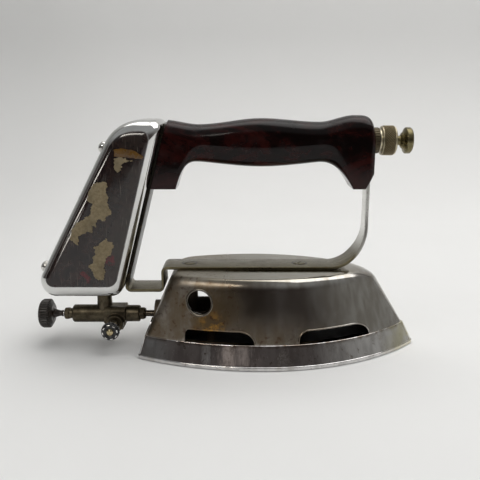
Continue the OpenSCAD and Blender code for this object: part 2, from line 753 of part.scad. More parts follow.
module tank_outlet_bush() {
    color("darkkhaki") translate([pipe_x, 0, tank_bottom + tank_wall]) difference() {
        cylinder(d = pipe_d + 3, h = outlet_bush_h);
        translate([0, 0, -through]) cylinder(d = pipe_neck_d + 2 * fit, h = outlet_bush_h + 2 * through);
    }
}

// Places along the rear wall for a pair of buttons at each end, pointing out of the wall
rivet_d = 3;
rivet_head = 1.5;
rear_wall_length = norm([shoulder_x, shoulder_z] + tank_shoulder * [-rear_dir[1], rear_dir[0]] - rear_point);
button_ends = [button_d * 0.5, rear_wall_length - button_d * 0.5];

module button_places() {
    for (along = button_ends, side = [-1, 1])
        translate([rear_point[0], side * button_half, rear_point[1]] + along * [rear_dir[0], 0, rear_dir[1]])
            rotate([0, tank_rear_lean - 90, 0]) children();
}

// Domed rest buttons, riveted through the rear wall
module heel_buttons() {
    dome = 3.4;
    r = (button_d * button_d / 4 + dome * dome) / (2 * dome);
    color("gainsboro") button_places() {
        intersection() {
            translate([0, 0, dome - r]) sphere(r);
            cylinder(d = button_d, h = dome);
        }
        translate([0, 0, -tank_wall - rivet_head]) cylinder(d = rivet_d, h = tank_wall + rivet_head + 0.5);
        translate([0, 0, -tank_wall - rivet_head]) cylinder(d = rivet_d + 2, h = rivet_head - fit);
    }
}

filler_bush_d = filler_d * 0.84;
filler_bore_d = filler_d * 0.63;
gasket_h = 1;
bush_proud = 2;

// The filler's axis, pointing out of the tank's +Y face, with its zero on that face
module filler_place() {
    z = tank_bottom + filler_rise;
    translate([front_x(z) - filler_inset, tank_width / 2, z]) rotate([-90, 0, 0]) children();
}

module filler_bush() {
    deep = 8;
    color("darkkhaki") filler_place() difference() {
        union() {
            translate([0, 0, -deep]) cylinder(d = filler_bush_d - 2 * fit, h = deep + bush_proud);
            translate([0, 0, -tank_wall - 2]) cylinder(d = filler_bush_d + 1.6, h = 2);
        }
        translate([0, 0, -deep - through]) cylinder(d = filler_bore_d, h = deep + bush_proud + 2 * through);
    }
}

module filler_gasket() {
    color("dimgray") filler_place() translate([0, 0, bush_proud]) difference() {
        cylinder(d = filler_bush_d - 0.6, h = gasket_h);
        translate([0, 0, -through]) cylinder(d = filler_bore_d, h = gasket_h + 2 * through);
    }
}

// Screw plug with a coin slot across its crowned head
module filler_plug() {
    head = 6;
    thread = 7;
    r = filler_d / 2;
    color("darkkhaki") filler_place() translate([0, 0, bush_proud + gasket_h]) difference() {
        union() {
            rotate_extrude() polygon([[0, 0], [r - 0.6, 0], [r, 0.6], [r, head - 1.8], [r - 0.7, head - 1],
                [r - 2.4, head], [0, head]]);
            translate([0, 0, -thread]) cylinder(d = filler_bore_d - 2 * fit, h = thread + 0.1);
        }
        translate([-r - 1, -1, head - 1.8]) cube([2 * r + 2, 2, 3]);
    }
}

// Valve

block_half = 7.5;
block_above = 6.4;           // block top above the fuel valve's axis
pipe_rise = 9.2;             // seat of the outlet pipe above the fuel valve's axis
block_below = 10.6;          // block underside below the fuel valve's axis
block_corner = [2.4, 4.2];   // cut-off lower corners of the block, level and upright
stuffing_d = 6.6;
stuffing_deep = 8;
thread_d = 5;                // threaded part of the stems
seat_x = block_x - block_length / 2 + 3;
pipe_seat = valve_height + pipe_rise;
light_boss_y = -block_half - 5;
light_seat_y = -1;
outlet_bore_d = 4;

// Lays a piece drawn along +Z onto the -Y axis of the lighting valve, starting at y
module along_light(y) {
    translate([light_x, y, light_z]) rotate([90, 0, 0]) children();
}

// Pipe from the tank's underside down to the valve, with a neck into each of them
module outlet_pipe() {
    color("tan") translate([pipe_x, 0, pipe_seat]) difference() {
        union() {
            cylinder(d = pipe_d, h = tank_bottom - pipe_seat);
            translate([0, 0, -3]) cylinder(d = pipe_neck_d, h = 3.1);
            cylinder(d = pipe_neck_d, h = tank_bottom - pipe_seat + tank_wall + outlet_bush_h);
        }
        translate([0, 0, -3 - through])
            cylinder(d = outlet_bore_d, h = tank_bottom - pipe_seat + outlet_bush_h + 10);
    }
}

module valve_body() {
    front_d = valve_d - 0.8;
    block_front = block_x + block_length / 2;
    color("tan") difference() {
        union() {
            along_x(valve_rear_x, valve_height) rotate_extrude()
                polygon([[0, 0], [valve_d / 2 - 0.8, 0], [valve_d / 2, 0.8],
                    [valve_d / 2, block_x - valve_rear_x], [0, block_x - valve_rear_x]]);
            along_x(block_x, valve_height) cylinder(d = front_d, h = valve_front_x - block_x);
            translate([block_x - block_length / 2, -block_half, valve_height - block_below])
                cube([block_length, 2 * block_half, block_below + block_above]);
            along_light(-block_half + 0.5) cylinder(d = 12.4, h = -block_half + 0.5 - light_boss_y);
            translate([pipe_x, 0, valve_height]) cylinder(d = pipe_d, h = pipe_seat - valve_height);
        }
        // chamfers along the block's upper and lower long edges
        for (side = [-1, 1], z = [-block_below, block_above])
            translate([block_x, side * block_half, valve_height + z]) rotate([45, 0, 0])
                cube([block_length + 2, 3, 3], center = true);
        // cut-off lower corners of the block
        for (end = [-1, 1])
            translate([block_x + end * block_length / 2, block_half + through, valve_height - block_below])
                rotate([90, 0, 0]) linear_extrude(2 * block_half + 2 * through)
                    polygon([[-end * block_corner[0] * 1.25, -block_corner[1] * 0.25], [0, block_corner[1]],
                        [end * 2, block_corner[1]], [end * 2, -block_corner[1] * 0.25]]);
        // socket and bore of the outlet pipe
        translate([pipe_x, 0, pipe_seat - 3.2]) cylinder(d = pipe_neck_d + 2 * fit, h = 4);
        translate([pipe_x, 0, valve_height]) cylinder(d = outlet_bore_d, h = pipe_seat - valve_height);
        // fuel valve: stuffing box, stem thread, seat and outlet
        along_x(valve_rear_x - through, valve_height) cylinder(d = stuffing_d, h = stuffing_deep + through);
        along_x(valve_rear_x, valve_height) cylinder(d = thread_d + 2 * fit, h = seat_x - 3 - valve_rear_x);
        along_x(seat_x - 4, valve_height) cylinder(d = 2, h = 8);
        along_x(seat_x - 3 - 0.01, valve_height) cylinder(d1 = thread_d + 2 * fit, d2 = 2, h = 3);
        along_x(seat_x + 3, valve_height) cylinder(d = outlet_bore_d, h = valve_front_x - seat_x);
        along_x(valve_front_x - 5, valve_height) cylinder(d = 8, h = 5 + through);
        // lighting valve: stuffing box, stem thread and a port up to the outlet
        along_light(light_boss_y + 5) cylinder(d = stuffing_d, h = 5 + through);
        along_light(light_seat_y) cylinder(d = thread_d + 2 * fit, h = light_seat_y - light_boss_y);
        along_light(2) cylinder(d = 2, h = 6);
        translate([light_x, 1, light_z]) cylinder(d = 2, h = light_drop);
    }
}

nut_neck = 2.6;
nut_rim = 3.6;
fuel_hub = 6.9;
fuel_knob_x = valve_rear_x - nut_neck - nut_rim - 1.2;       // the end of the knob's hub

// Needle with a cone point, a threaded part and a plain stem out to its knob
module needle(reach, thread) {
    cone = 2.6;
    rotate_extrude() polygon([[0, 0], [0.3, 0], [stem_d / 2, cone], [stem_d / 2, cone + 1],
        [thread_d / 2, cone + 1.4], [thread_d / 2, cone + thread], [stem_d / 2, cone + thread + 0.5],
        [stem_d / 2, reach], [0, reach]]);
}

module fuel_needle() {
    tip = seat_x - 0.5;
    color("darkkhaki") translate([tip, 0, valve_height]) rotate([0, -90, 0])
        needle(tip - fuel_knob_x + fuel_hub + stem_grip - 0.1,
            tip - 2.6 - valve_rear_x - stuffing_deep - 2.5);
}

// Packing ring in a stuffing box
module packing(length) {
    difference() {
        cylinder(d = stuffing_d - 2 * fit, h = length);
        translate([0, 0, -through]) cylinder(d = stem_d + 2 * fit, h = length + 2 * through);
    }
}

// Gland nut: a sleeve in the stuffing box, a neck and a rounded hexagon
module gland_nut(sleeve) {
    difference() {
        union() {
            cylinder(d = stuffing_d - 2 * fit, h = sleeve);
            translate([0, 0, sleeve]) cylinder(d = stuffing_d + 0.8, h = nut_neck);
            translate([0, 0, sleeve + nut_neck]) intersection() {
                cylinder(d = 9.2, h = nut_rim, $fn = 6);
                rotate_extrude() polygon([[0, 0], [3.9, 0], [4.5, 0.8], [4.5, nut_rim - 1],
                    [3.6, nut_rim], [0, nut_rim]]);
            }
        }
        translate([0, 0, -through])
            cylinder(d = stem_d + 2 * fit, h = sleeve + nut_neck + nut_rim + 2 * through);
    }
}

gland_sleeve = 2.2;

module fuel_packing() {
    length = stuffing_deep - gland_sleeve;
    color("wheat") along_x(valve_rear_x + gland_sleeve, valve_height) packing(length);
}

module fuel_packing_nut() {
    color("darkkhaki") translate([valve_rear_x + gland_sleeve, 0, valve_height]) rotate([0, -90, 0])
        gland_nut(gland_sleeve);
}

// Hand wheel: a tapering hub towards the valve, a bevelled and rounded rim, a dished face.
// It starts at the hub's end and turns on the stem.
module hand_wheel(d, rim, hub) {
    r = d / 2;
    bevel = rim * 0.26;
    hub_r = min(r * 0.36, 3.4);
    difference() {
        rotate_extrude() polygon([[0, 0], [stem_d / 2 + 0.7, 0], [stem_d / 2 + 1, hub * 0.4], [hub_r, hub],
            [r - bevel * 1.5, hub], [r, hub + bevel], [r, hub + rim * 0.72],
            [r - rim * 0.06, hub + rim * 0.86],
            [r - rim * 0.18, hub + rim * 0.96], [r - rim * 0.3, hub + rim], [r * 0.55, hub + rim],
            [r * 0.48, hub + rim - dish], [0, hub + rim - dish]]);
        translate([0, 0, -through]) cylinder(d = stem_d + 2 * fit, h = hub + stem_grip + through);
        translate([0, 0, hub + rim - dish - screw_deep])
            cylinder(d = screw_shank_d, h = screw_deep + through);
    }
}

dish = 0.8;                  // depth of the dished face
stem_grip = 1;               // how far the stem reaches past the hub into the wheel
screw_shank_d = 2.4;

screw_deep = 2.4;

// Round-headed screw that holds a hand wheel on its stem
module wheel_screw(head) {
    difference() {
        union() {
            translate([0, 0, 0.2 - screw_deep]) cylinder(d = screw_shank_d, h = screw_deep);
            intersection() {
                translate([0, 0, head * 0.4 - head]) sphere(head);
                cylinder(r = head, h = head);
            }
        }
        translate([-head, -0.3, head * 0.12]) cube([2 * head, 0.6, head]);
    }
}

module fuel_knob() {
    color("darkslategray") translate([fuel_knob_x, 0, valve_height]) rotate([0, -90, 0])
        hand_wheel(fuel_knob_d, fuel_knob_rim, fuel_hub);
}

module fuel_knob_screw() {
    face = fuel_hub + fuel_knob_rim - dish;
    color("darkkhaki") translate([fuel_knob_x - face, 0, valve_height]) rotate([0, -90, 0]) wheel_screw(3.4);
}

// Lighting valve

light_knob_y = light_boss_y - nut_neck - nut_rim - 1.2;     // the end of the knob's hub
light_hub = 2.4;
light_rim = 5.4;

module lighting_needle() {
    tip = light_seat_y + 0.4;
    color("darkkhaki") along_light(tip)
        needle(tip - light_knob_y + light_hub + stem_grip - 0.1, tip - 2.6 - light_boss_y - 6.7);
}

module lighting_packing() {
    color("wheat") along_light(light_boss_y + 5) packing(5 - gland_sleeve);
}

module lighting_packing_nut() {
    color("darkkhaki") along_light(light_boss_y + gland_sleeve) gland_nut(gland_sleeve);
}

module lighting_knob() {
    color("darkslategray") along_light(light_knob_y) hand_wheel(light_knob_d, light_rim, light_hub);
}

module lighting_knob_screw() {
    color("darkkhaki") along_light(light_knob_y - light_hub - light_rim + dish) wheel_screw(2.9);
}

// Generator

nut_length = 4;
tip_length = 4;

// Flare nut: a thread in the valve's front end, a hexagon and a chamfered nose
module generator_nut() {
    thread = 4;
    color("darkkhaki") along_x(valve_front_x - thread, valve_height) difference() {
        union() {
            cylinder(d = 8 - 2 * fit, h = thread);
            translate([0, 0, thread]) cylinder(d = 9.4, h = nut_length - 1.2, $fn = 6);
            translate([0, 0, thread + nut_length - 1.2]) cylinder(d1 = 8, d2 = 6.4, h = 1.2);
        }
        translate([0, 0, -through])
            cylinder(d = generator_d + 2 * fit, h = thread + nut_length + 2 * through);
    }
}

module generator_tube() {
    start = valve_front_x - 4.6;
    stop = mixer_rear_x + 6;
    color("dimgray") along_x(start, valve_height) difference() {
        cylinder(d = generator_d, h = stop - start);
        translate([0, 0, -through]) cylinder(d = generator_d - 2, h = stop - start + 2 * through);
    }
}

// Jet with a fine orifice, pressed over the generator's end
module gas_tip() {
    color("darkkhaki") along_x(mixer_rear_x + 6, valve_height) difference() {
        union() {
            cylinder(d = generator_d + 2, h = 2, $fn = 6);
            cylinder(d1 = generator_d, d2 = 2, h = tip_length);
        }
        translate([0, 0, -through]) cylinder(d = 0.8, h = tip_length + 2 * through);
    }
}

sole_plate();
body_shell();
burner();
strap();
strap_screws();
handle();
pump_barrel();
barrel_ring_nut();
pump_cap();
pump_rod();
pump_knob();
pump_cup();
cup_retainer();
check_valve();
check_ball();
tank_shell();
tank_front();
tank_pump_bush();
tank_outlet_bush();
heel_buttons();
filler_bush();
filler_plug();
filler_gasket();
outlet_pipe();
valve_body();
fuel_needle();
fuel_packing();
fuel_packing_nut();
fuel_knob();
fuel_knob_screw();
lighting_needle();
lighting_packing();
lighting_packing_nut();
lighting_knob();
lighting_knob_screw();
generator_nut();
generator_tube();
gas_tip();
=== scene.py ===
"""Looks of the gasoline iron: dense pieces in place of the plain solids, procedural materials, a pale
studio floor and the camera. Shapes are in millimetres until a mesh is made, materials are in metres."""
import random
from math import acos, atan2, ceil, cos, dist, pi, radians as rad, sin, sqrt, tan
from types import SimpleNamespace as Sizes

import bmesh
import bpy
from mathutils import Matrix, Vector


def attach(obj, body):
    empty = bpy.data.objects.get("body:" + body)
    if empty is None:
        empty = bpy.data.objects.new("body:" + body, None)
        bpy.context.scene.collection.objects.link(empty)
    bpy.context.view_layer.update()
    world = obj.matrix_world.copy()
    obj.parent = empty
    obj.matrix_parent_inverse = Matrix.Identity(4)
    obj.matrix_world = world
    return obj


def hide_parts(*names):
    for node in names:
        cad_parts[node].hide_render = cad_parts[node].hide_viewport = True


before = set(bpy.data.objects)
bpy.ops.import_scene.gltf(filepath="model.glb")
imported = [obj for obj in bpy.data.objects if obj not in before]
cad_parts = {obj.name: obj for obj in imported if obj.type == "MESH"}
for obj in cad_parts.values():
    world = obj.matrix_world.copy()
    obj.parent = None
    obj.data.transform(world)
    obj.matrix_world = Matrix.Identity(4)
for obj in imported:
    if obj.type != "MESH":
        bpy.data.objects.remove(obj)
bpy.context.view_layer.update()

MM = 0.001
LEAN = rad(14.8)                 # of the strap's rear part and the tank's front
REAR_LEAN = rad(28.25)           # of the tank's rear wall
PUMP_Z, VALVE_Z = 145.4, 21.7    # heights of the pump's axis and the valve's
SCREWS = (-63.4, 14.3)           # where the two strap screws stand, along x
RIGHT, LEFT, NEAR, FAR, UP = (1, 0, 0), (-1, 0, 0), (0, -1, 0), (0, 1, 0), (0, 0, 1)


# -------- mesh helpers

def clamp(t, low=0.0, high=1.0):
    return max(low, min(high, t))


def ease(t):
    c = clamp(t)
    return c * c * (3 - 2 * c)


def arc(centre, radius, a, b, steps):
    """Points on an arc from angle a to angle b, leaving out the last."""
    turns = [a + (b - a) * i / steps for i in range(steps)]
    return [(centre[0] + radius * cos(t), centre[1] + radius * sin(t)) for t in turns]


def circle(centre, radius, steps):
    return arc(centre, radius, 0, 2 * pi, steps)


def rounded(points, radius, steps=3):
    """A polyline with each inner corner replaced by a small fillet."""
    out = [points[0]]
    for p, q, r in zip(points, points[1:], points[2:]):
        corner = Vector(q)
        a, b = Vector(p) - corner, Vector(r) - corner
        reach = min(radius, a.length * 0.45, b.length * 0.45)
        if reach < 0.02:
            out.append(q)
            continue
        start, stop = corner + a.normalized() * reach, corner + b.normalized() * reach
        for t in (k / steps for k in range(steps + 1)):
            out.append(tuple(start * (1 - t) ** 2 + corner * 2 * t * (1 - t) + stop * t * t))
    return out + [points[-1]]


def refined(points, step):
    """A polyline with extra points so that no part of it is longer than step."""
    out = [points[0]]
    for p, q in zip(points, points[1:]):
        count = max(1, ceil(dist(p, q) / step))
        out += [tuple(a + (b - a) * k / count for a, b in zip(p, q)) for k in range(1, count + 1)]
    return out


def loft(rings, capped=True):
    """Points and faces of a skin through closed rings, with a face on each end where it is capped."""
    n = len(rings[0])
    last = (len(rings) - 1) * n
    faces = [(i + j, i + (j + 1) % n, i + n + (j + 1) % n, i + n + j)
             for i in range(0, last, n) for j in range(n)]
    if capped:
        faces += [tuple(range(n)), tuple(range(last + n - 1, last - 1, -1))]
    return [p for ring in rings for p in ring], faces


def prism(outline, a, b, place):
    """A straight solid from an outline, between a and b along its axis."""
    return loft([[place(p, h) for p in outline] for h in (a, b)])


def axes(direction):
    """A direction and two more at right angles to it."""
    d = Vector(direction).normalized()
    u = d.orthogonal().normalized()
    return d, u, d.cross(u)


def turned(profile, origin, direction, steps=96, relief=None):
    """Points and faces of a turned piece. The profile is (radius, distance along the axis), and relief
    gives a change of radius from the angle, the distance and the radius."""
    d, u, v = axes(direction)
    verts, faces, rows = [], [], []
    for r, h in profile:
        middle, first = Vector(origin) + d * h, len(verts)
        if r < 1e-4:
            verts.append(tuple(middle))
        else:
            for t in (2 * pi * j / steps for j in range(steps)):
                reach = r + (relief(t, h, r) if relief else 0)
                verts.append(tuple(middle + (u * cos(t) + v * sin(t)) * reach))
        rows.append(range(first, len(verts)))
    for a, b in zip(rows, rows[1:]):
        for j in range(steps):
            k = (j + 1) % steps
            if len(a) == 1 and len(b) > 1:
                faces.append((a[0], b[j], b[k]))
            elif len(b) == 1 and len(a) > 1:
                faces.append((a[j], a[k], b[0]))
            elif len(a) > 1:
                faces.append((a[j], a[k], b[k], b[j]))
    return verts, faces + [tuple(row) for row in (rows[0], rows[-1]) if len(row) > 1]


def joined(*parts):
    """Points and faces of several parts as one."""
    verts, faces = [], []
    for v, f in parts:
        faces += [tuple(i + len(verts) for i in face) for face in f]
        verts += v
    return verts, faces


def smooth(mesh, angle):
    mesh.shade_smooth()
    mesh.set_sharp_from_angle(angle=rad(angle))


def linked(name, data):
    obj = bpy.data.objects.new(name, data)
    bpy.context.scene.collection.objects.link(obj)
    return obj


def mesh_of(name, part, angle=35, indices=None):
    """A mesh in metres from points in millimetres and faces, which are turned outwards."""
    mesh = bpy.data.meshes.new(name)
    mesh.from_pydata([tuple(c * MM for c in v) for v in part[0]], [], part[1])
    if indices:
        mesh.polygons.foreach_set("material_index", indices)
    bm = bmesh.new()
    bm.from_mesh(mesh)
    bmesh.ops.recalc_face_normals(bm, faces=bm.faces)
    bm.to_mesh(mesh)
    bm.free()
    smooth(mesh, angle)
    return mesh


def piece(name, part, looks, nodes="", body="iron", angle=35, indices=None):
    """A piece with one look or more, which rides on a body and stands for the CAD nodes given."""
    obj = linked(name, mesh_of(name, part, angle, indices))
    for look in looks.split():
        obj.data.materials.append(LOOK[look])
    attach(obj, body)
    if nodes:
        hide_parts(*nodes.split())
    return obj


def lathe(name, profile, origin, direction, steps, looks, nodes="", relief=None, **rest):
    return piece(name, turned(profile, origin, direction, steps, relief), looks, nodes, **rest)


def applied(obj):
    """Replaces an object's mesh by what its modifiers make of it."""
    graph = bpy.context.evaluated_depsgraph_get()
    mesh = bpy.data.meshes.new_from_object(obj.evaluated_get(graph))
    obj.modifiers.clear()
    obj.data = mesh


def cut(obj, *cutters, angle=35):
    """Takes the cutters, given as points and faces, out of an object."""
    tools = [linked("cutter", mesh_of("cutter", part)) for part in cutters]
    for tool in tools:
        mod = obj.modifiers.new("cut", "BOOLEAN")
        mod.object, mod.operation, mod.solver = tool, "DIFFERENCE", "EXACT"
    applied(obj)
    for tool in tools:
        bpy.data.objects.remove(tool)
    smooth(obj.data, angle)


def even_normals(obj):
    obj.modifiers.new("even_normals", "WEIGHTED_NORMAL").keep_sharp = True


# -------- materials

class Value:
    """A node's output. Arithmetic with it adds math nodes, and | takes the larger of two."""

    def __init__(self, nodes, socket):
        self.nodes, self.socket = nodes, socket

    def __add__(self, other):
        return self.nodes.math("ADD", self, other)

    def __sub__(self, other):
        return self.nodes.math("SUBTRACT", self, other)

    def __rsub__(self, other):
        return self.nodes.math("SUBTRACT", other, self)

    def __mul__(self, other):
        return self.nodes.math("MULTIPLY", self, other)

    def __or__(self, other):
        return self.nodes.math("MAXIMUM", self, other)

    def __abs__(self):
        return self.nodes.math("ABSOLUTE", self)

    def ramp(self, low, high, a=0.0, b=1.0):
        """A smooth step from a at low to b at high."""
        ends = {"Value": self, "From Min": low, "From Max": high, "To Min": a, "To Max": b}
        return self.nodes.value("MapRange", ends, interpolation_type="SMOOTHSTEP")


class Nodes:
    """The few node kinds that the looks are made from."""

    def __init__(self, tree, coordinate):
        self.tree = tree
        self.place = self.value("TexCoord", socket=coordinate)
        self.x, self.y, self.z = (self.part_of(self.place, a) for a in "XYZ")

    def put(self, value, socket):
        if isinstance(value, Value):
            self.tree.links.new(value.socket, socket)
        else:
            socket.default_value = (*value, 1) if socket.type == "RGBA" else value

    def node(self, kind, inputs=(), **props):
        n = self.tree.nodes.new("ShaderNode" + kind)
        for key, value in props.items():
            setattr(n, key, value)
        for key, value in dict(inputs).items():
            self.put(value, n.inputs[key])
        return n

    def value(self, kind, inputs=(), socket=0, **props):
        return Value(self, self.node(kind, inputs, **props).outputs[socket])

    def math(self, kind, a, b=0.0):
        return self.value("Math", {0: a, 1: b}, operation=kind)

    def vector(self, kind, a, b, socket="Value"):
        return self.value("VectorMath", {0: a, 1: b}, socket, operation=kind)

    def part_of(self, vector, axis):
        return self.value("SeparateXYZ", {0: vector}, axis)

    def noise(self, scale, detail=4, roughness=0.55, stretch=None, distortion=0.0):
        where = self.value("Mapping", {"Vector": self.place, "Scale": stretch}) if stretch else self.place
        return self.value("TexNoise", {"Vector": where, "Scale": scale, "Detail": detail,
                                       "Roughness": roughness, "Distortion": distortion})

    def coats(self, colour, *coats):
        """A colour under coats of others, each given as how much of it shows and its colour."""
        for amount, coat in coats:
            colour = self.value("Mix", {0: amount, 6: colour, 7: coat}, 2, data_type="RGBA")
        return colour

    def distance(self, point, along="Y"):
        """Distance from an axis along X, Y or Z through a point given in millimetres."""
        at = [c * MM for c in point]
        at.insert("XYZ".index(along), 0)
        flat = self.vector("MULTIPLY", self.place, [int(a != along) for a in "XYZ"], 0)
        return self.vector("DISTANCE", flat, at)

    def beyond(self, centre, *ways):
        """Distance past a point (x, z) in millimetres, counting only the directions given."""
        total = 0.0
        for a, b in ways:
            along = self.vector("DOT_PRODUCT", self.place, (a, 0, b))
            past = along - (centre[0] * a + centre[1] * b) * MM | 0.0
            total = past * past + total
        return self.math("SQRT", total)


class Shader(Nodes):
    """A principled material."""

    def __init__(self, name, **values):
        self.material = bpy.data.materials.new(name)
        self.material.use_nodes = True
        super().__init__(self.material.node_tree, "Object")
        self.bsdf = self.tree.nodes["Principled BSDF"].inputs
        for key, value in values.items():
            self.bsdf[key.replace("_", " ")].default_value = value

    def geometry(self, name):
        return self.value("NewGeometry", socket=name)

    def worn_edges(self, low=0.52, high=0.6):
        return self.geometry("Pointiness").ramp(low, high)

    def finish(self, colour, roughness, height=None, strength=0.1, depth=0.0005):
        self.put(colour, self.bsdf["Base Color"])
        self.put(roughness, self.bsdf["Roughness"])
        if height is not None:
            bump = {"Height": height, "Strength": strength, "Distance": depth}
            self.put(self.value("Bump", bump), self.bsdf["Normal"])
        return self.material


def shade(colour, gain, lift=0.0):
    return tuple(c * gain + lift for c in colour)


def plated(name, clean, dull, rough, worn=None):
    """Polished plate with hair scratches, faint streaks and dull stains."""
    s = Shader(name, Metallic=1.0)
    stains, fine = s.noise(55, 6, 0.62).ramp(0.56, 0.72), s.noise(900, 3)
    colour = s.coats(clean, (s.noise(9, 5, stretch=(30, 30, 4)) * 0.5, shade(clean, 0.72)), (stains * 0.7, dull))
    if worn:
        colour = s.coats(colour, (s.worn_edges() * 0.8, worn))
    roughness = (stains * 0.6 + fine * 0.4).ramp(0.1, 0.95, rough * 0.8, rough * 2.4)
    return s.finish(colour, roughness, s.noise(38, 2) + fine * 0.04, 0.06, 0.001)


def sole_chrome():
    """Worn chrome: dented, with dull stains, brown along its upper edge and yellowed at the tip."""
    s = Shader("sole_plate_chrome", Metallic=1.0)
    stain = s.noise(70, 6, 0.66).ramp(0.5, 0.68)
    spots = s.noise(260, 5, 0.6).ramp(0.6, 0.7)
    upright = s.noise(26, 4, stretch=(6, 6, 0.4))
    brown = s.z.ramp(0.0132, 0.0156) * s.noise(130, 5, 0.6).ramp(0.36, 0.6)
    yellow = s.x.ramp(0.066, 0.09) * s.noise(110, 5).ramp(0.35, 0.6, 0.3, 1.0)
    colour = s.coats((0.7, 0.685, 0.68), (upright.ramp(0.36, 0.66), (0.52, 0.505, 0.5)),
                     (stain * 0.6, (0.4, 0.365, 0.33)), (spots * 0.7, (0.24, 0.2, 0.16)),
                     (brown * 0.7, (0.17, 0.11, 0.06)), (yellow * 0.8, (0.62, 0.58, 0.4)))
    height = s.noise(44, 3) + (upright * 0.4 - spots * 0.06)
    return s.finish(colour, (stain + spots * 0.6).ramp(0.0, 1.3, 0.05, 0.2), height, 0.22, 0.001)


VARNISH_CORNERS = (  # centre (x, z), radius and outward angle of the varnish's two lower corners
    ((-147.1, 58.4), 9.0, pi - REAR_LEAN), ((-115.8, 54.9), 5.5, -LEAN))
RED_STAINS = ((-116.0, 68.5, 7.0), (-131.5, 57.5, 8.0), (-128.2, 107.7, 4.6), (-108.8, 131.7, 4.2))


def tank_plate():
    """Bright plate at the rims; the flat faces have a brown varnish with rub marks, scratches and red stains."""
    s = Shader("tank_plate", Specular_IOR_Level=0.58)
    rub = s.value("TexNoise", {"Scale": 190.0, "Detail": 5.0, "W": s.x - s.z * 0.4}, noise_dimensions="1D")
    blotch = s.noise(42, 6, 0.65)
    mottle = s.noise(120, 6, 0.7, distortion=0.8)
    forward = s.x - s.z * tan(LEAN)
    out = abs(s.y) - forward.ramp(-0.131, -0.124, 0.0, 0.0011)
    bloom = (out + mottle * 0.0005).ramp(0.0233, 0.0239)
    for centre, radius, lean in VARNISH_CORNERS:
        corner = s.beyond(centre, (0, -1), (cos(lean), sin(lean))) + mottle * 0.0006
        bloom = bloom * corner.ramp((radius + 0.7) * MM, radius * MM)
    ragged = s.noise(210, 6, 0.75).ramp(0.3, 0.7, 0.0, 0.008)
    red = 0.0
    for x, z, size in RED_STAINS:
        red = (s.distance((x, z)) + ragged).ramp(size * MM, size * 0.62 * MM) | red
    # the varnish is painted lighter grey towards the front, broken up by blotches: a painted reflection
    grey = forward.ramp(-0.156, -0.128) * blotch.ramp(0.4, 0.62, 0.15, 0.7)
    scratch = s.noise(60, 2, stretch=(26, 1, 1.2), distortion=0.4).ramp(0.64, 0.7)
    varnish = s.coats((0.026, 0.014, 0.0125),
                      ((rub * 0.25 + mottle * 0.8).ramp(0.44, 0.64), (0.007, 0.0035, 0.0045)),
                      (grey, (0.036, 0.029, 0.024)), (scratch * 0.5, (0.13, 0.11, 0.09)),
                      (red * bloom * 0.8, (0.11, 0.006, 0.011)))
    colour = s.coats((0.7, 0.7, 0.69), (blotch.ramp(0.3, 0.8), (0.56, 0.555, 0.54)), (bloom, varnish))
    s.put(1.0 - bloom * 0.97, s.bsdf["Metallic"])
    dull = (rub * 0.5 + blotch * 0.5).ramp(0.3, 0.75, 0.0, 0.09)
    roughness = dull * bloom + blotch.ramp(0.3, 0.8, 0.045, 0.085)
    return s.finish(colour, roughness, s.noise(22, 2) + rub * 0.05, 0.07, 0.0012)


def shell_nickel():
    """Dull nickel, tarnished brown towards the rear and round the openings, with a sooted top; painted shade darkens
    the middle of each side.
    """
    s = Shader("shell_nickel", Metallic=1.0)
    blotch = s.noise(48, 6, 0.64)
    upright = s.noise(30, 5, stretch=(5, 5, 0.5))
    rear = s.x.ramp(-0.008, -0.076)
    hole = s.distance((-50, 38)).ramp(0.034, 0.012)
    low = s.z.ramp(0.046, 0.02) * s.x.ramp(0.06, 0.0)
    brown = (rear * 0.8 | hole | low * 0.75) * (blotch + upright * 0.35).ramp(0.38, 0.72, 0.5, 1.0)
    # a darker patch in the middle of each side wall: painted shade
    dark = s.distance((-28, 43)).ramp(0.034, 0.006)
    speck = s.noise(330, 5, 0.6).ramp(0.56, 0.66)
    ochre = s.distance((-46, 26)).ramp(0.014, 0.002) * s.noise(160, 5, 0.7).ramp(0.46, 0.62)
    colour = s.coats((0.42, 0.405, 0.38), (upright.ramp(0.38, 0.64), (0.315, 0.292, 0.262)),
                     (brown, (0.125, 0.086, 0.045)), (dark * 0.75, (0.085, 0.064, 0.042)),
                     (s.z.ramp(0.0552, 0.0573) * 0.6, (0.34, 0.315, 0.255)),
                     (speck * (brown * 0.85), (0.075, 0.038, 0.02)), (ochre * 0.85, (0.42, 0.22, 0.05)),
                     (s.worn_edges(0.56, 0.66) * 0.75, (0.62, 0.59, 0.53)))
    roughness = (brown + blotch * 0.6).ramp(0.2, 1.3, 0.12, 0.27) + rear * 0.16
    return s.finish(colour, roughness, s.noise(30, 2) + s.noise(700, 3) * 0.05, 0.16, 0.0012)


def soot(name, base):
    s = Shader(name, Metallic=0.2)
    grain = s.noise(180, 6, 0.65)
    colour = s.coats(base, (grain, shade(base, 2.6, 0.012)))
    return s.finish(colour, grain.ramp(0.2, 0.8, 0.6, 0.9), grain, 0.4, 0.0006)


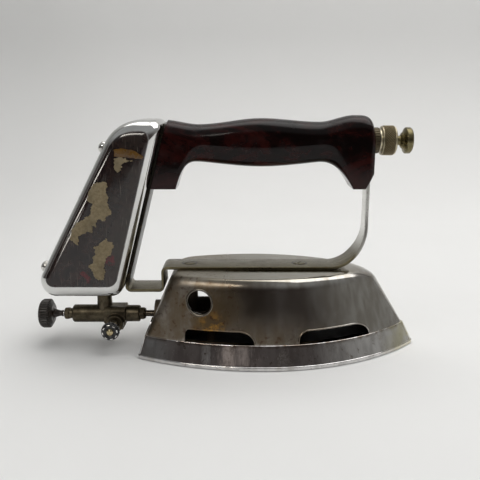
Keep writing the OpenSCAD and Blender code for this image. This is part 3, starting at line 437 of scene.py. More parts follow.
def strap_nickel():
    """Worn nickel on steel: grey-brown, brushed along its length; a painted reflection brightens the front riser."""
    s = Shader("strap_nickel", Metallic=1.0)
    brushed = s.noise(22, 6, 0.6, stretch=(1.2, 22, 1.2))
    blotch = s.noise(75, 6, 0.66)
    pits = s.noise(420, 4).ramp(0.6, 0.7)
    # the front riser is painted far brighter than the rest of the strap: a painted reflection
    bright = s.x.ramp(0.05, 0.06)
    # the front riser's thin edges, which face near and far, are painted less bright than its broad faces: painted
    # shade
    edge = abs(s.part_of(s.geometry("Normal"), "Y")).ramp(0.75, 0.95) * bright
    # the rear riser between the tank and the handle is painted nearly black: painted shade
    behind = (s.x - s.z * tan(LEAN)).ramp(-0.112, -0.116) * s.z.ramp(0.044, 0.05)
    worn = s.worn_edges(0.54, 0.62) * (0.5 - bright * 0.5)
    colour = s.coats((0.158, 0.14, 0.09), (blotch.ramp(0.3, 0.75), (0.098, 0.08, 0.047)),
                     (bright * 0.92, (0.88, 0.88, 0.85)), (behind * 0.93, (0.012, 0.011, 0.01)),
                     (worn, (0.42, 0.4, 0.35)), (edge * 0.9, (0.5, 0.49, 0.47)))
    for screw in SCREWS:
        away = s.distance((screw, 0), "Z")
        grime = away.ramp(0.0062, 0.005) * away.ramp(0.004, 0.0046)
        colour = s.coats(colour, (grime * 0.85, (0.02, 0.015, 0.01)))
    colour = s.coats(colour, (pits * 0.5, (0.13, 0.09, 0.05)))
    roughness = (brushed * 0.5 + blotch * 0.5).ramp(0.3, 0.8, 0.24, 0.46)
    return s.finish(colour, roughness, brushed + pits * -0.4, 0.12, 0.0005)


def bakelite():
    """Near-black maroon moulding with dark red mottling, polished by hands and finely scratched; a painted reflection
    lightens the feet.
    """
    s = Shader("bakelite", Specular_IOR_Level=0.2)
    swirl = s.noise(46, 6, 0.62, stretch=(0.6, 1, 1), distortion=1.4)
    fleck = s.noise(150, 5, 0.65).ramp(0.52, 0.68)
    colour = s.coats((0.0028, 0.001, 0.0009), (swirl.ramp(0.44, 0.66), (0.024, 0.0034, 0.0028)),
                     (fleck * 0.35, (0.036, 0.006, 0.0045)),
                     # below the grip the feet are painted lighter and redder: a painted reflection of the bright floor
                     (s.z.ramp(0.13, 0.116, 0.0, 0.7), (0.03, 0.0115, 0.0105)))
    upward = s.part_of(s.geometry("Normal"), "Z")
    roughness = (s.noise(90, 5).ramp(0.45, 0.75) + s.noise(900, 2) * 0.3).ramp(0.1, 1.1, 0.075, 0.2)
    roughness = roughness + upward.ramp(0.25, 0.85, 0.0, 0.16)
    return s.finish(colour, roughness, s.noise(60, 3) + s.noise(1100, 2) * 0.03, 0.09, 0.0008)


def aged_brass(name, light, dark, rough, worn=None, amount=0.7):
    """Brass gone brown in the hollows and lighter where hands and spanners rub."""
    s = Shader(name, Metallic=1.0)
    blotch = s.noise(130, 6, 0.65)
    grime = s.noise(420, 5, 0.6).ramp(0.45, 0.7)
    colour = s.coats(light, (blotch.ramp(0.3, 0.72), dark), (grime * 0.35, shade(dark, 0.45)))
    if worn:
        colour = s.coats(colour, (s.worn_edges() * amount, worn))
    roughness = (blotch * 0.6 + grime * 0.4).ramp(0.2, 0.8, *rough)
    return s.finish(colour, roughness, blotch + grime * -0.2, 0.1, 0.0004)


def knurled_brass():
    """Brass that is brown in the grooves of the pump cap's knurl and rubbed bright on its crests."""
    s = Shader("knurl_brass", Metallic=1.0)
    crest = s.distance((0, PUMP_Z), "X").ramp(0.00966, 0.00998)
    grime = s.noise(420, 5, 0.6)
    colour = s.coats((0.014, 0.009, 0.004), (crest, (0.4, 0.33, 0.2)), (grime * 0.4, (0.05, 0.037, 0.02)))
    return s.finish(colour, grime.ramp(0.3, 0.7, 0.28, 0.46), grime, 0.08, 0.0003)


def moulded(name, base, light, rough=(0.3, 0.5)):
    """Dark moulding or enamel with dust in the grooves and rubbed high spots."""
    s = Shader(name)
    blotch = s.noise(210, 5, 0.6)
    colour = s.coats(base, (blotch.ramp(0.35, 0.75), light),
                     (s.noise(90, 4).ramp(0.5, 0.7) * 0.25, shade(light, 2.2, 0.01)),
                     (s.worn_edges(0.53, 0.62) * 0.35, shade(light, 3, 0.02)))
    return s.finish(colour, blotch.ramp(0.3, 0.75, *rough), blotch, 0.18, 0.0003)


def drawn_steel(name, light, dark):
    s = Shader(name, Metallic=1.0)
    marks = s.noise(30, 5, 0.6, stretch=(30, 3, 3))
    colour = s.coats(light, (s.noise(110, 5).ramp(0.35, 0.75), dark))
    return s.finish(colour, marks.ramp(0.3, 0.8, 0.16, 0.34), marks, 0.08, 0.0003)


def fibrous(name, base, dark, scale, stretch=(1, 1, 1)):
    """Leather, cord, paper and other soft stuff with a visible grain."""
    s = Shader(name)
    grain = s.noise(scale, 6, 0.65, stretch=stretch)
    blotch = s.noise(scale * 0.18, 5, 0.6).ramp(0.45, 0.7)
    colour = s.coats(base, (grain.ramp(0.3, 0.75), dark), (blotch * 0.45, shade(dark, 0.55)))
    return s.finish(colour, grain.ramp(0.3, 0.8, 0.6, 0.85), grain, 0.3, 0.0003)


def amber_tape():
    s = Shader("amber_tape", Coat_Weight=0.12, Coat_Roughness=0.15)
    age = s.noise(160, 5, 0.65)
    colour = s.coats((0.155, 0.076, 0.012), (age.ramp(0.35, 0.7), (0.058, 0.028, 0.008)))
    return s.finish(colour, age.ramp(0.3, 0.8, 0.22, 0.4), s.noise(60, 3, stretch=(1, 1, 8)), 0.3, 0.0004)


LOOK = {
    "tank": tank_plate(),
    "button": plated("rest_button_plate", (0.74, 0.73, 0.7), (0.56, 0.54, 0.5), 0.24),
    "rim": plated("hole_rim_nickel", (0.17, 0.15, 0.125), (0.085, 0.065, 0.045), 0.26, (0.24, 0.21, 0.17)),
    # pale metal for the lighting wheel's dashes: worn metal, and partly a painted highlight on the knurl
    "worn": plated("worn_dash_and_painted_highlight", (0.8, 0.79, 0.76), (0.5, 0.46, 0.4), 0.2),
    "sole": sole_chrome(),
    "shell": shell_nickel(),
    "soot": soot("soot", (0.016, 0.014, 0.013)),
    "iron": soot("burner_iron", (0.075, 0.055, 0.036)),
    "strap": strap_nickel(),
    "handle": bakelite(),
    "knurl": knurled_brass(),
    "fuel_knob": moulded("fuel_knob_moulding", (0.02, 0.016, 0.013), (0.042, 0.033, 0.026)),
    "hub": moulded("hub_moulding", (0.016, 0.009, 0.006), (0.03, 0.016, 0.009), (0.25, 0.45)),
    "enamel": moulded("black_enamel", (0.01, 0.01, 0.011), (0.022, 0.022, 0.023), (0.18, 0.36)),
    "steel": drawn_steel("drawn_steel", (0.6, 0.59, 0.57), (0.42, 0.4, 0.37)),
    "tube": drawn_steel("tube_steel", (0.085, 0.07, 0.052), (0.045, 0.036, 0.027)),
    "leather": fibrous("cup_leather", (0.16, 0.085, 0.04), (0.085, 0.042, 0.02), 420),
    "cord": fibrous("packing_cord", (0.42, 0.36, 0.26), (0.26, 0.22, 0.15), 700, (1, 6, 6)),
    "gasket": fibrous("gasket_grey", (0.13, 0.125, 0.12), (0.08, 0.078, 0.075), 300),
    "paper": fibrous("old_paper", (0.28, 0.225, 0.13), (0.185, 0.14, 0.075), 520),
    "tape": amber_tape(),
}
BRASSES = {  # light and dark colour, roughness, and the colour and amount of worn edges
    "pump": ((0.58, 0.52, 0.38), (0.36, 0.31, 0.21), (0.28, 0.46), (0.76, 0.7, 0.55)),
    "collar": ((0.085, 0.07, 0.045), (0.05, 0.04, 0.025), (0.3, 0.5)),
    "pull": ((0.2, 0.175, 0.095), (0.12, 0.1, 0.05), (0.26, 0.46), (0.42, 0.37, 0.24)),
    "fitting": ((0.52, 0.4, 0.2), (0.34, 0.25, 0.12), (0.22, 0.42)),
    "valve": ((0.122, 0.102, 0.07), (0.066, 0.054, 0.036), (0.4, 0.58), (0.21, 0.18, 0.13), 0.5),
    "screw": ((0.62, 0.55, 0.36), (0.42, 0.33, 0.18), (0.16, 0.34)),
}
LOOK.update((look, aged_brass(look + "_brass", *values)) for look, values in BRASSES.items())


# -------- sole and shell

SOLE = Sizes(length=195, width=101, rear=60, widest=-12, height=16, floor=8, draft=4, rake=6, rim=5,
             lip=3, lip_out=0.6, tip=6, corner=3, wall=4.7, edge=0.6)
SHELL = Sizes(height=41.5, wall=1.2, set_in=5.8, lean=8.2, rear_lean=18.5, nose_lean=25, stern_lean=1.5,
              widest_back=6, round=8, rear_round=3, side_round=4, nose_round=15,
              tip=(4, 10, 4), corner=(6, 5, 2))     # radius at the foot, and its growth up the wall and over the edge
SHELL_TOP = SOLE.height + SHELL.height
HOLE, HOLE_RADIUS = (-54.6, 41.9), 8.5      # middle (x, z) of the lighting holes
REAR_VENT, FRONT_VENT = (-64.8, 47, 4, 11.5), (11, 50, 7, 13)    # left end, length, corner, run-out
VENT_HEIGHT, TALL_VENT = 8.5, 12.5          # the rear vent on the far side is the tall one
RIM = (  # radius of a lighting hole's in-turned rim, and how deep it lies in the wall
    (9.2, 0.02), (9.0, -0.14), (8.7, -0.26), (8.35, -0.26), (8.0, -0.12), (7.75, 0.2), (7.62, 0.8), (7.6, 1.6),
    (7.6, 2.6), (7.75, 2.85), (8.1, 2.6), (8.4, 1.2))


def boat_radii(rear, tip, w, wr, wide, rt, _):
    """Radii of the long arcs in front of and behind a boat outline's widest place."""
    a, b = tip - rt - wide, wide - rear
    return (a * a + w * w - rt * rt) / (2 * (w - rt)), (b * b + (w - wr) ** 2) / (2 * (w - wr))


def boat(outline, z):
    """A boat outline at height z, given by its rear and tip, half widths at the widest place and the rear,
    widest place, and radii of the tip and the rear corners."""
    rear, tip, w, wr, wide, rt, rc = outline
    front_r, rear_r = boat_radii(*outline)
    turn = atan2(front_r - w, tip - rt - wide)
    b = wide - rear
    cy = sqrt((rear_r - rc) ** 2 - (b - rc) ** 2) - rear_r + w
    rear_turn = atan2(cy - w + rear_r, rc - b)
    half = (arc((tip - rt, 0), rt, 0, turn, 8) + arc((wide, w - front_r), front_r, turn, pi / 2, 44)
            + arc((wide, w - rear_r), rear_r, pi / 2, rear_turn, 34) + arc((rear + rc, cy), rc, rear_turn, pi, 8)
            + [(rear, cy * (1 - k / 6)) for k in range(7)])
    return [(x, y, z) for x, y in half] + [(x, -y, z) for x, y in half[-2:0:-1]]


def sole_outline(d):
    s = SOLE
    return (-s.length / 2 + d, s.length / 2 - d * s.rake / s.draft, s.width / 2 - d, s.rear / 2 - d * 0.4,
            s.widest, max(s.tip - d * 0.6, 1.5), s.corner)


def shell_outline(up, bend, wall):
    s, k = sole_outline(SHELL.set_in), SHELL
    return (s[0] + up * k.rear_lean + bend * k.rear_round + wall,
            s[1] - up * k.nose_lean - bend * k.nose_round - wall * 1.4,
            s[2] - up * k.lean - bend * k.side_round - wall,
            s[3] - up * k.stern_lean - bend * k.side_round - wall, SOLE.widest - up * k.widest_back,
            *(foot + up * rise + bend * roll for foot, rise, roll in (k.tip, k.corner)))


def shell_skin(wall):
    """Rings up the shell's straight wall and over its rounded top edge."""
    k = SHELL
    straight = k.height - k.round
    levels = [(i / 10 * straight / k.height, 0) for i in range(11)]
    levels += [((straight + (k.round - wall) * sin(a)) / k.height, 1 - cos(a))
               for a in (pi / 2 * i / 12 for i in range(1, 13))]
    return [boat(shell_outline(up, bend, wall), SOLE.height + up * k.height) for up, bend in levels]


def shell_half_width(x, z):
    """Half the shell's width at a place on its straight side wall."""
    outline = shell_outline((z - SOLE.height) / SHELL.height, 0, 0)
    w, wide = outline[2], outline[4]
    r = boat_radii(*outline)[x < wide]
    return w - r + sqrt(r * r - (x - wide) ** 2)


def vent_outline(left, length, corner, run_out, height=VENT_HEIGHT):
    """A vent slot with a round left corner and a right end that runs out in a quarter of an ellipse."""
    base, right = SOLE.height, left + length
    ellipse = [(right - run_out * (1 - cos(rad(a))), base + height * sin(rad(a))) for a in range(0, 91, 6)]
    return ([(left, base - 1), (right, base - 1)] + ellipse
            + arc((left + corner, base + height - corner), corner, pi / 2, pi, 8)[1:]
            + [(left, base + height - corner)])


def lip(outline, side, r=0.55, steps=10):
    """A bead on the shell's wall along an open outline (x, z), where the sheet is turned in."""
    way = [Vector((x, side * (shell_half_width(x, max(z, SOLE.height)) - 0.15), z))
           for x, z in refined(outline + [(outline[-1][0], SOLE.height - 0.5)], 0.8)]
    rings = []
    for i, p in enumerate(way):
        along = (way[min(i + 1, len(way) - 1)] - way[max(i - 1, 0)]).normalized()
        across = along.cross(Vector((0, side, 0.2))).normalized()
        out = across.cross(along)
        rings.append([tuple(p + (across * cos(t) + out * sin(t)) * r)
                      for t in (2 * pi * k / steps for k in range(steps))])
    return loft(rings)


def along_y(p, y):
    return (p[0], y, p[1])


def round_bar(x, radius, length):
    """A bar along the valve's axis."""
    return turned([(radius, 0), (radius, length)], (x, 0, VALVE_Z), RIGHT, 64)


def build_shell():
    outer, inner = shell_skin(0), shell_skin(SHELL.wall)
    part = loft(inner[::-1] + outer)
    inside = len(inner) * len(outer[0])
    sooty = [int(i < inside) for i in range(len(part[1]) - 2)] + [1, 0]
    shell = piece("shell", part, "shell soot", "body_shell", indices=sooty)
    low, tall, front = vent_outline(*REAR_VENT), vent_outline(*REAR_VENT, TALL_VENT), vent_outline(*FRONT_VENT)
    through = [prism(o, -60, 60, along_y) for o in (circle(HOLE, HOLE_RADIUS, 64), low, front)]
    cut(shell, *through, prism(tall, 0, 60, along_y), round_bar(-98, 10.1, 49), angle=30)
    even_normals(shell)
    for label, side, rear in (("near", -1, low), ("far", 1, tall)):
        piece("vent_lips_" + label, joined(lip(rear[1:], side), lip(front[1:], side)), "shell", angle=60)
    for label, side in (("near", -1), ("far", 1)):
        rings = [[(x, side * (shell_half_width(x, z) - deep), z) for x, z in circle(HOLE, r, 72)] for r, deep in RIM]
        piece("hole_rim_" + label, loft(rings, False), "rim", angle=60)


def build_sole():
    s = SOLE
    inner = s.draft + s.edge + s.rim
    quarter = [rad(a) for a in (22, 45, 68, 90)]
    low, bottom, top = s.lip - 0.9, s.lip + 0.15, s.height - 0.7
    levels = [(s.edge + 0.5, 0), (s.edge, 0)]       # set-in and height, from the underside up and over the rim
    levels += [(s.edge * (1 - sin(a)), s.edge * (1 - cos(a))) for a in (rad(30), rad(60), rad(90))]
    levels += [(0, low)] + [(0.75 * (1 - cos(a)), low + 0.75 * sin(a)) for a in quarter]
    levels += [(s.lip_out - 0.1, s.lip - 0.05), (s.lip_out, bottom)]
    levels += [(s.lip_out + (s.wall - s.lip_out) * k / 6, bottom + (top - bottom) * k / 6) for k in range(1, 7)]
    levels += [(s.wall + 0.7 * (1 - cos(a)), top + 0.7 * sin(a)) for a in quarter]
    outside = len(levels)
    levels += [(inner - 0.5, s.height), (inner, s.height - 0.5), (inner + s.edge, s.floor)]
    rings = [boat(sole_outline(d), z) for d, z in levels]
    part = loft(rings)
    dark = [int(i >= outside * len(rings[0])) for i in range(len(part[1]) - 2)] + [0, 1]
    sole = piece("sole", part, "sole soot", "sole_plate", angle=40, indices=dark)
    cut(sole, round_bar(-s.length / 2 - 1, 9.98, 13.6), angle=40)
    even_normals(sole)
    under = SHELL_TOP - SHELL.wall
    post = rounded([(0, s.floor - 1), (8, s.floor - 1), (8, s.floor + 0.5), (5.5, s.floor + 3), (5.5, under),
                    (0, under)], 1.5, 4)
    piece("strap_posts", joined(*(turned(post, (x, 0, 0), UP, 48) for x in SCREWS)), "iron")


# -------- strap and screws

FRONT_X = -81.4                  # where the tank's front crosses the pump's axis
STRAP_WIDTH, STRAP_THICK, STRAP_EDGE = 22, 2, 0.55
TAPER = Sizes(rise=38, width=8.5, thick=0.6, edge=0.3)      # height in which the front riser narrows, and changes


def front_x(z):
    """Where the tank's front is at height z."""
    return FRONT_X + (z - PUMP_Z) * tan(LEAN)


ARM_Z, STEP_X = 42.3, -81.4      # height of the arm under the tank, and place of the step up to the shell
STRAP_MID = SHELL_TOP + STRAP_THICK / 2
STRAP_ENDS = (PUMP_Z + 11.5, PUMP_Z + 10.5)      # heights of the bar's ends in the handle's feet
HALF_OUT = STRAP_THICK / 2 / cos(LEAN)           # from the tank's front to the bar's middle, along x
HANDLE_REAR = FRONT_X + STRAP_THICK / cos(LEAN)
HANDLE_FRONT = HANDLE_REAR + 140.8
RISER_X = HANDLE_FRONT - 2.2
SWEEP = 16                       # level and upright run of the slope in the front sweep
STRAP_PATH = [(front_x(STRAP_ENDS[0]) + HALF_OUT, STRAP_ENDS[0]), (front_x(ARM_Z) + HALF_OUT, ARM_Z),
              (STEP_X, ARM_Z), (STEP_X, STRAP_MID), (RISER_X - SWEEP, STRAP_MID), (RISER_X, STRAP_MID + SWEEP),
              (RISER_X, STRAP_ENDS[1])]
STRAP_BENDS = [0, 3, 3, 3, 22, 31, 0]


def bent_path(path, bends):
    """Points along a path whose corners are bent to the radii given."""
    points = []
    pts = [Vector(p) for p in path]
    for i, (p, bend) in enumerate(zip(pts, bends)):
        if not bend:
            points.append(p)
            continue
        u, v = (p - pts[i - 1]).normalized(), (pts[i + 1] - p).normalized()
        turn = acos(clamp(u.dot(v), -1, 1))
        reach = bend * tan(turn / 2)
        side = 1 if u.x * v.y - u.y * v.x > 0 else -1
        centre = p - u * reach + Vector((-u.y, u.x)) * side * bend
        first = p - u * reach - centre
        start, steps = atan2(first.y, first.x), max(8, round(bend * turn / 1.2))
        points += [centre + Vector((cos(t), sin(t))) * bend
                   for t in (start + side * turn * k / steps for k in range(steps + 1))]
    return refined([tuple(p) for p in points], 4)


def bar_section(width, thick, r, steps=4):
    """A bar's section with rounded edges, as (across, out) pairs."""
    w, h, out = width / 2 - r, thick / 2 - r, []
    for cx, cy, a in ((w, h, 0), (-w, h, 90), (-w, -h, 180), (w, -h, 270)):
        turns = [rad(a + 90 * k / steps) for k in range(steps + 1)]
        out += [(cx + r * cos(t), cy + r * sin(t)) for t in turns]
    return out


def build_strap():
    path = bent_path(STRAP_PATH, STRAP_BENDS)
    rings = []
    for before, (x, z), after in zip(path[:1] + path, path, path[1:] + path[-1:]):
        u = (Vector(after) - Vector(before)).normalized()
        narrow = ease((z - STRAP_MID) / TAPER.rise) if x > 0 else 0      # how far the front riser has tapered
        section = bar_section(STRAP_WIDTH - TAPER.width * narrow, STRAP_THICK + TAPER.thick * narrow,
                              STRAP_EDGE + TAPER.edge * narrow)
        rings.append([(x - u.y * out, across, z + u.x * out) for across, out in section])
    piece("strap_bar", loft(rings), "strap", "strap", angle=50)

    profile = rounded([(0, -12), (2.5, -12), (2.5, 0), (4.5, 1.9), (4.5, 2.12), (3.4, 2.45), (0, 2.5)], 0.25)
    for k, (x, angle, nodes) in enumerate(zip(SCREWS, (35, 62), ("strap_screws", ""))):
        screw = lathe("strap_screw_%d" % k, profile, (x, 0, SHELL_TOP), UP, 64, "strap", nodes)
        turn = Matrix.Rotation(rad(angle), 3, "Z")
        corners = [turn @ Vector((a, b, 0)) for a, b in ((-6, -0.55), (6, -0.55), (6, 0.55), (-6, 0.55))]
        cut(screw, prism(corners, SHELL_TOP + 1.6, SHELL_TOP + 4, lambda p, z: (p.x + x, p.y, z)))


# -------- handle

HANDLE = Sizes(rear=HANDLE_REAR, front=HANDLE_FRONT, width=27, top=14.8, bottom=16.9, drop=31.8, toe=(5, 9),
               crest=2, crest_back=12.5, nose=9.6, crown=10.5, waist=4, hollow=4.1, bevel=(11.5, 6.2),
               small_bevel=(1.5, 1.0), rear_fade=(5, 14), front_fade=(4.4, 11.4), rear_sweep=16, front_sweep=24,
               swell=0.8, tuck=1.6, tuck_run=3)
REAR_FOOT = front_x(PUMP_Z - HANDLE.drop) + STRAP_THICK / cos(LEAN) + 17
FRONT_FOOT = HANDLE.front - HANDLE.toe[0] - 8.3
BELLY = (REAR_FOOT + FRONT_FOOT) / 2 - 2
BELLY_HALF = (FRONT_FOOT - REAR_FOOT) / 2


def through_knots(knots, x):
    if x <= knots[0][0]:
        return knots[0][1]
    for (xa, a), (xb, b) in zip(knots, knots[1:]):
        if x < xb:
            return a + (b - a) * ease((x - xa) / (xb - xa))
    return knots[-1][1]


def handle_top(x):
    h = HANDLE
    peak = h.front - h.crest_back
    out = clamp((x - peak) / h.crest_back)
    knots = [(h.rear, h.top - 1), (h.rear + 24, h.top - h.waist), (BELLY, h.top),
             (peak - 23.5, h.top - h.waist * 0.6), (peak, h.top + h.crest)]
    return through_knots(knots, x) - h.nose * (1 - sqrt(1 - 0.97 * out ** 4))


def handle_underside(x):
    h = HANDLE
    rear = clamp((REAR_FOOT + h.rear_sweep - x) / h.rear_sweep)
    front = clamp((x - FRONT_FOOT + h.front_sweep) / h.front_sweep)
    grip = -h.bottom + h.hollow * ease(abs(x - BELLY) / BELLY_HALF)
    nose = max(0, (x - h.front + h.toe[0]) / h.toe[0])
    return grip + (-h.drop - grip) * max(rear ** 3.2, front ** 2.3) + h.toe[1] * nose


def handle_section(x):
    """Section of the handle at x: crowned top, flat side, and a bevel that fades out towards both feet."""
    h, top, low = HANDLE, handle_top(x), handle_underside(x)
    end = max(0, (x - h.front + h.tuck_run) / h.tuck_run)
    half = h.width / 2 - h.swell + h.swell * ease(1 - abs(x - BELLY) / BELLY_HALF) - h.tuck * end * end
    rear = clamp((x - REAR_FOOT - h.rear_fade[0]) / h.rear_fade[1])
    front = clamp((FRONT_FOOT - h.front_fade[0] - x) / h.front_fade[1])
    grown = sin(pi / 2 * rear) * sin(pi / 2 * front)
    bevel, inset = (k + (v - k) * grown for k, v in zip(h.small_bevel, h.bevel))
    side = [(half * sin(rad(a)) ** 0.85, top - h.crown * (1 - cos(rad(a)))) for a in range(6, 91, 6)]
    edge, upper = low + bevel, side[-1][1]
    side += [(half, upper + (edge - upper) * k) for k in (0.25, 0.5, 0.75)]
    side += [(half, edge + 0.35), (half - 0.05, edge - 0.1), (half - 0.2, edge - 0.5)]
    start, flat = side[-1], (half - inset - 1.2, low)
    knee, roll = (half - inset * 0.35, low + bevel * 0.45), (half - inset * 0.66, low + bevel * 0.06)
    side += [(start[0] + (knee[0] - start[0]) * k, start[1] + (knee[1] - start[1]) * k) for k in (0.33, 0.66, 0.94)]
    side += [tuple(a * (1 - k) ** 2 + b * 2 * k * (1 - k) + c * k * k for a, b, c in zip(knee, roll, flat))
             for k in (0.08, 0.2, 0.35, 0.5, 0.65, 0.8, 0.92, 1)]
    side += [(flat[0] * 0.4, low)]
    ring = [(x, 0, PUMP_Z + top)] + [(x, y, PUMP_Z + z) for y, z in side] + [(x, 0, PUMP_Z + low)]
    return ring + [(x, -y, PUMP_Z + z) for y, z in side[::-1]]


def build_handle():
    start, steps = front_x(PUMP_Z - HANDLE.drop) - 2, 190
    run = HANDLE.front - start
    rings = [handle_section(start + run * (i / steps - 0.08 * sin(2 * pi * i / steps))) for i in range(steps + 1)]
    # the front face's edge is rolled over
    last = rings[-1]
    middle = Vector((last[0][0], 0, sum(p[2] for p in last) / len(last)))
    for out, scale in ((0.25, 0.985), (0.4, 0.955)):
        rings.append([tuple(middle + (Vector(p) - middle) * scale + Vector((out, 0, 0))) for p in last])
    mesh = piece("grip", loft(rings), "handle", "handle", angle=28).data
    # the rear end is cut off along the strap
    bm = bmesh.new()
    bm.from_mesh(mesh)
    away = bmesh.ops.bisect_plane(bm, geom=bm.verts[:] + bm.edges[:] + bm.faces[:], clear_outer=True,
                                  plane_co=Vector((HANDLE.rear + 0.1, 0, PUMP_Z)) * MM,
                                  plane_no=-Vector((cos(LEAN), 0, -sin(LEAN))))
    bmesh.ops.holes_fill(bm, edges=[e for e in away["geom_cut"] if isinstance(e, bmesh.types.BMEdge)])
    bm.to_mesh(mesh)
    bm.free()
    smooth(mesh, 28)


# -------- tank

TANK_HALF, TANK_TOP, TANK_BULGE = 25.0, 159.7, 0.45
TOE_R, TOP_R, SHOULDER_R, HEEL_R = 9.0, 5.0, 27.0, 11.0
TOE_Z, SHOULDER_Z, HEEL_Z = 50.0, 132.7, 52.0
FOOT_LENGTH = 37.1               # between the middles of the toe's and the heel's arcs
REAR_WAY = Vector((sin(REAR_LEAN), cos(REAR_LEAN)))
REAR_OUT = Vector((-REAR_WAY.y, REAR_WAY.x))
TOE, TOP = (Vector((front_x(z) - r / cos(LEAN), z)) for z, r in ((TOE_Z, TOE_R), (TANK_TOP - TOP_R, TOP_R)))
HEEL = Vector((TOE.x - FOOT_LENGTH, HEEL_Z))
WALL_FOOT = HEEL + HEEL_R * REAR_OUT
SHOULDER = Vector((WALL_FOOT.x + SHOULDER_R / REAR_WAY.y + (SHOULDER_Z - WALL_FOOT.y) * tan(REAR_LEAN), SHOULDER_Z))
ROLL = dict(front=7.5, top=13.0, rear=9.5, bottom=8.0)      # how far each edge rolls in to the flat face
CORNERS = [  # outer centre, outer and inner radius, edges on both sides with their outward angles
    (TOE, TOE_R, 3.0, "bottom", rad(-90), "front", -LEAN),
    (TOP, TOP_R, 3.0, "front", -LEAN, "top", pi / 2),
    (SHOULDER, SHOULDER_R, 15.0, "top", pi / 2, "rear", pi - REAR_LEAN),
    (HEEL, HEEL_R, 4.0, "rear", pi - REAR_LEAN, "bottom", rad(270))]
BUTTON_IN, BUTTON_Y = 4.0, 13    # places of the rest buttons, from the rear wall's ends and from the middle


def tank_outline():
    """Points round the tank's side view, each with the point where the flat face starts and the roll's depth."""
    corners = []
    for c, r, r_in, edge_a, a, edge_b, b in CORNERS:
        # the flat face's corner lies in from each edge by that edge's roll
        u, v = r - ROLL[edge_a] - r_in, r - ROLL[edge_b] - r_in
        inner = c + Vector((u * sin(b) - v * sin(a), v * cos(a) - u * cos(b))) / sin(b - a)
        corner = []
        for k in range(17):
            t = a + (b - a) * k / 16
            way = Vector((cos(t), sin(t)))
            corner.append((c + r * way, inner + r_in * way, ROLL[edge_a] + (ROLL[edge_b] - ROLL[edge_a]) * k / 16))
        corners.append(corner)
    points = []
    for corner, following in zip(corners, corners[1:] + corners[:1]):
        (p, f, e), (q, g, _) = corner[-1], following[0]
        count = max(3, round((q - p).length / 5))
        points += corner + [(p.lerp(q, k / count), f.lerp(g, k / count), e) for k in range(1, count)]
    return points


def build_tank():
    outline = tank_outline()
    face = [f for _, f, _ in outline]
    centre = sum(face, Vector((0, 0))) / len(face)
    half = [[(p.lerp(f, 1 - cos(a)), TANK_HALF - e * (1 - sin(a))) for p, f, e in outline]
            for a in (rad(a) for a in range(0, 91, 6))]
    half += [[(centre + (p - centre) * s, TANK_HALF + TANK_BULGE * (1 - s * s) ** 2) for p in face]
             for s in (0.94, 0.86, 0.74, 0.6, 0.45, 0.3, 0.14)]
    rings = [[(p.x, side * y, p.y) for p, y in ring] for side, rows in ((-1, half[::-1]), (1, half)) for ring in rows]
    piece("tank_body", loft(rings), "tank", "tank_shell tank_front", angle=60)

    # domed rest buttons with a thin collar
    dome = [(0, -0.6), (4.6, -0.6), (4.6, 0.1), (4.1, 0.35)]
    dome += [(4 * cos(rad(a)), 0.35 + 3.0 * sin(rad(a))) for a in range(8, 90, 9)] + [(0, 3.35)]
    wall = (SHOULDER + SHOULDER_R * REAR_OUT - WALL_FOOT).length
    places = [WALL_FOOT + along * REAR_WAY for along in (BUTTON_IN, wall - BUTTON_IN)]
    parts = [turned(dome, (p.x, y, p.y), (-cos(REAR_LEAN), 0, sin(REAR_LEAN)), 48)
             for p in places for y in (-BUTTON_Y, BUTTON_Y)]
    piece("rest_buttons", joined(*parts), "button", "heel_buttons")


def scrap(name, outline, look, jag, step, seed, lift=0.16):
    """A thin scrap that lies on the tank's near face, with an edge torn at random that thins out."""
    rng = random.Random(seed)
    edge = [(x + rng.uniform(-jag, jag), z + rng.uniform(-jag, jag))
            for x, z in refined(outline + outline[:1], step)[:-1]]
    inner = []
    for p, q, r in zip(edge[-1:] + edge[:-1], edge, edge[1:] + edge[:1]):
        along = Vector(r) - Vector(p)
        inner.append(Vector(q) + Vector((along.y, -along.x)).normalized() * 0.15)
    y = -TANK_HALF - 0.4         # just under the bulge of the face
    rows = ((edge, y), (edge, y - lift * 0.5), (inner, y - lift))
    piece(name, loft([[(x, deep, z) for x, z in row] for row, deep in rows]), look, angle=40)


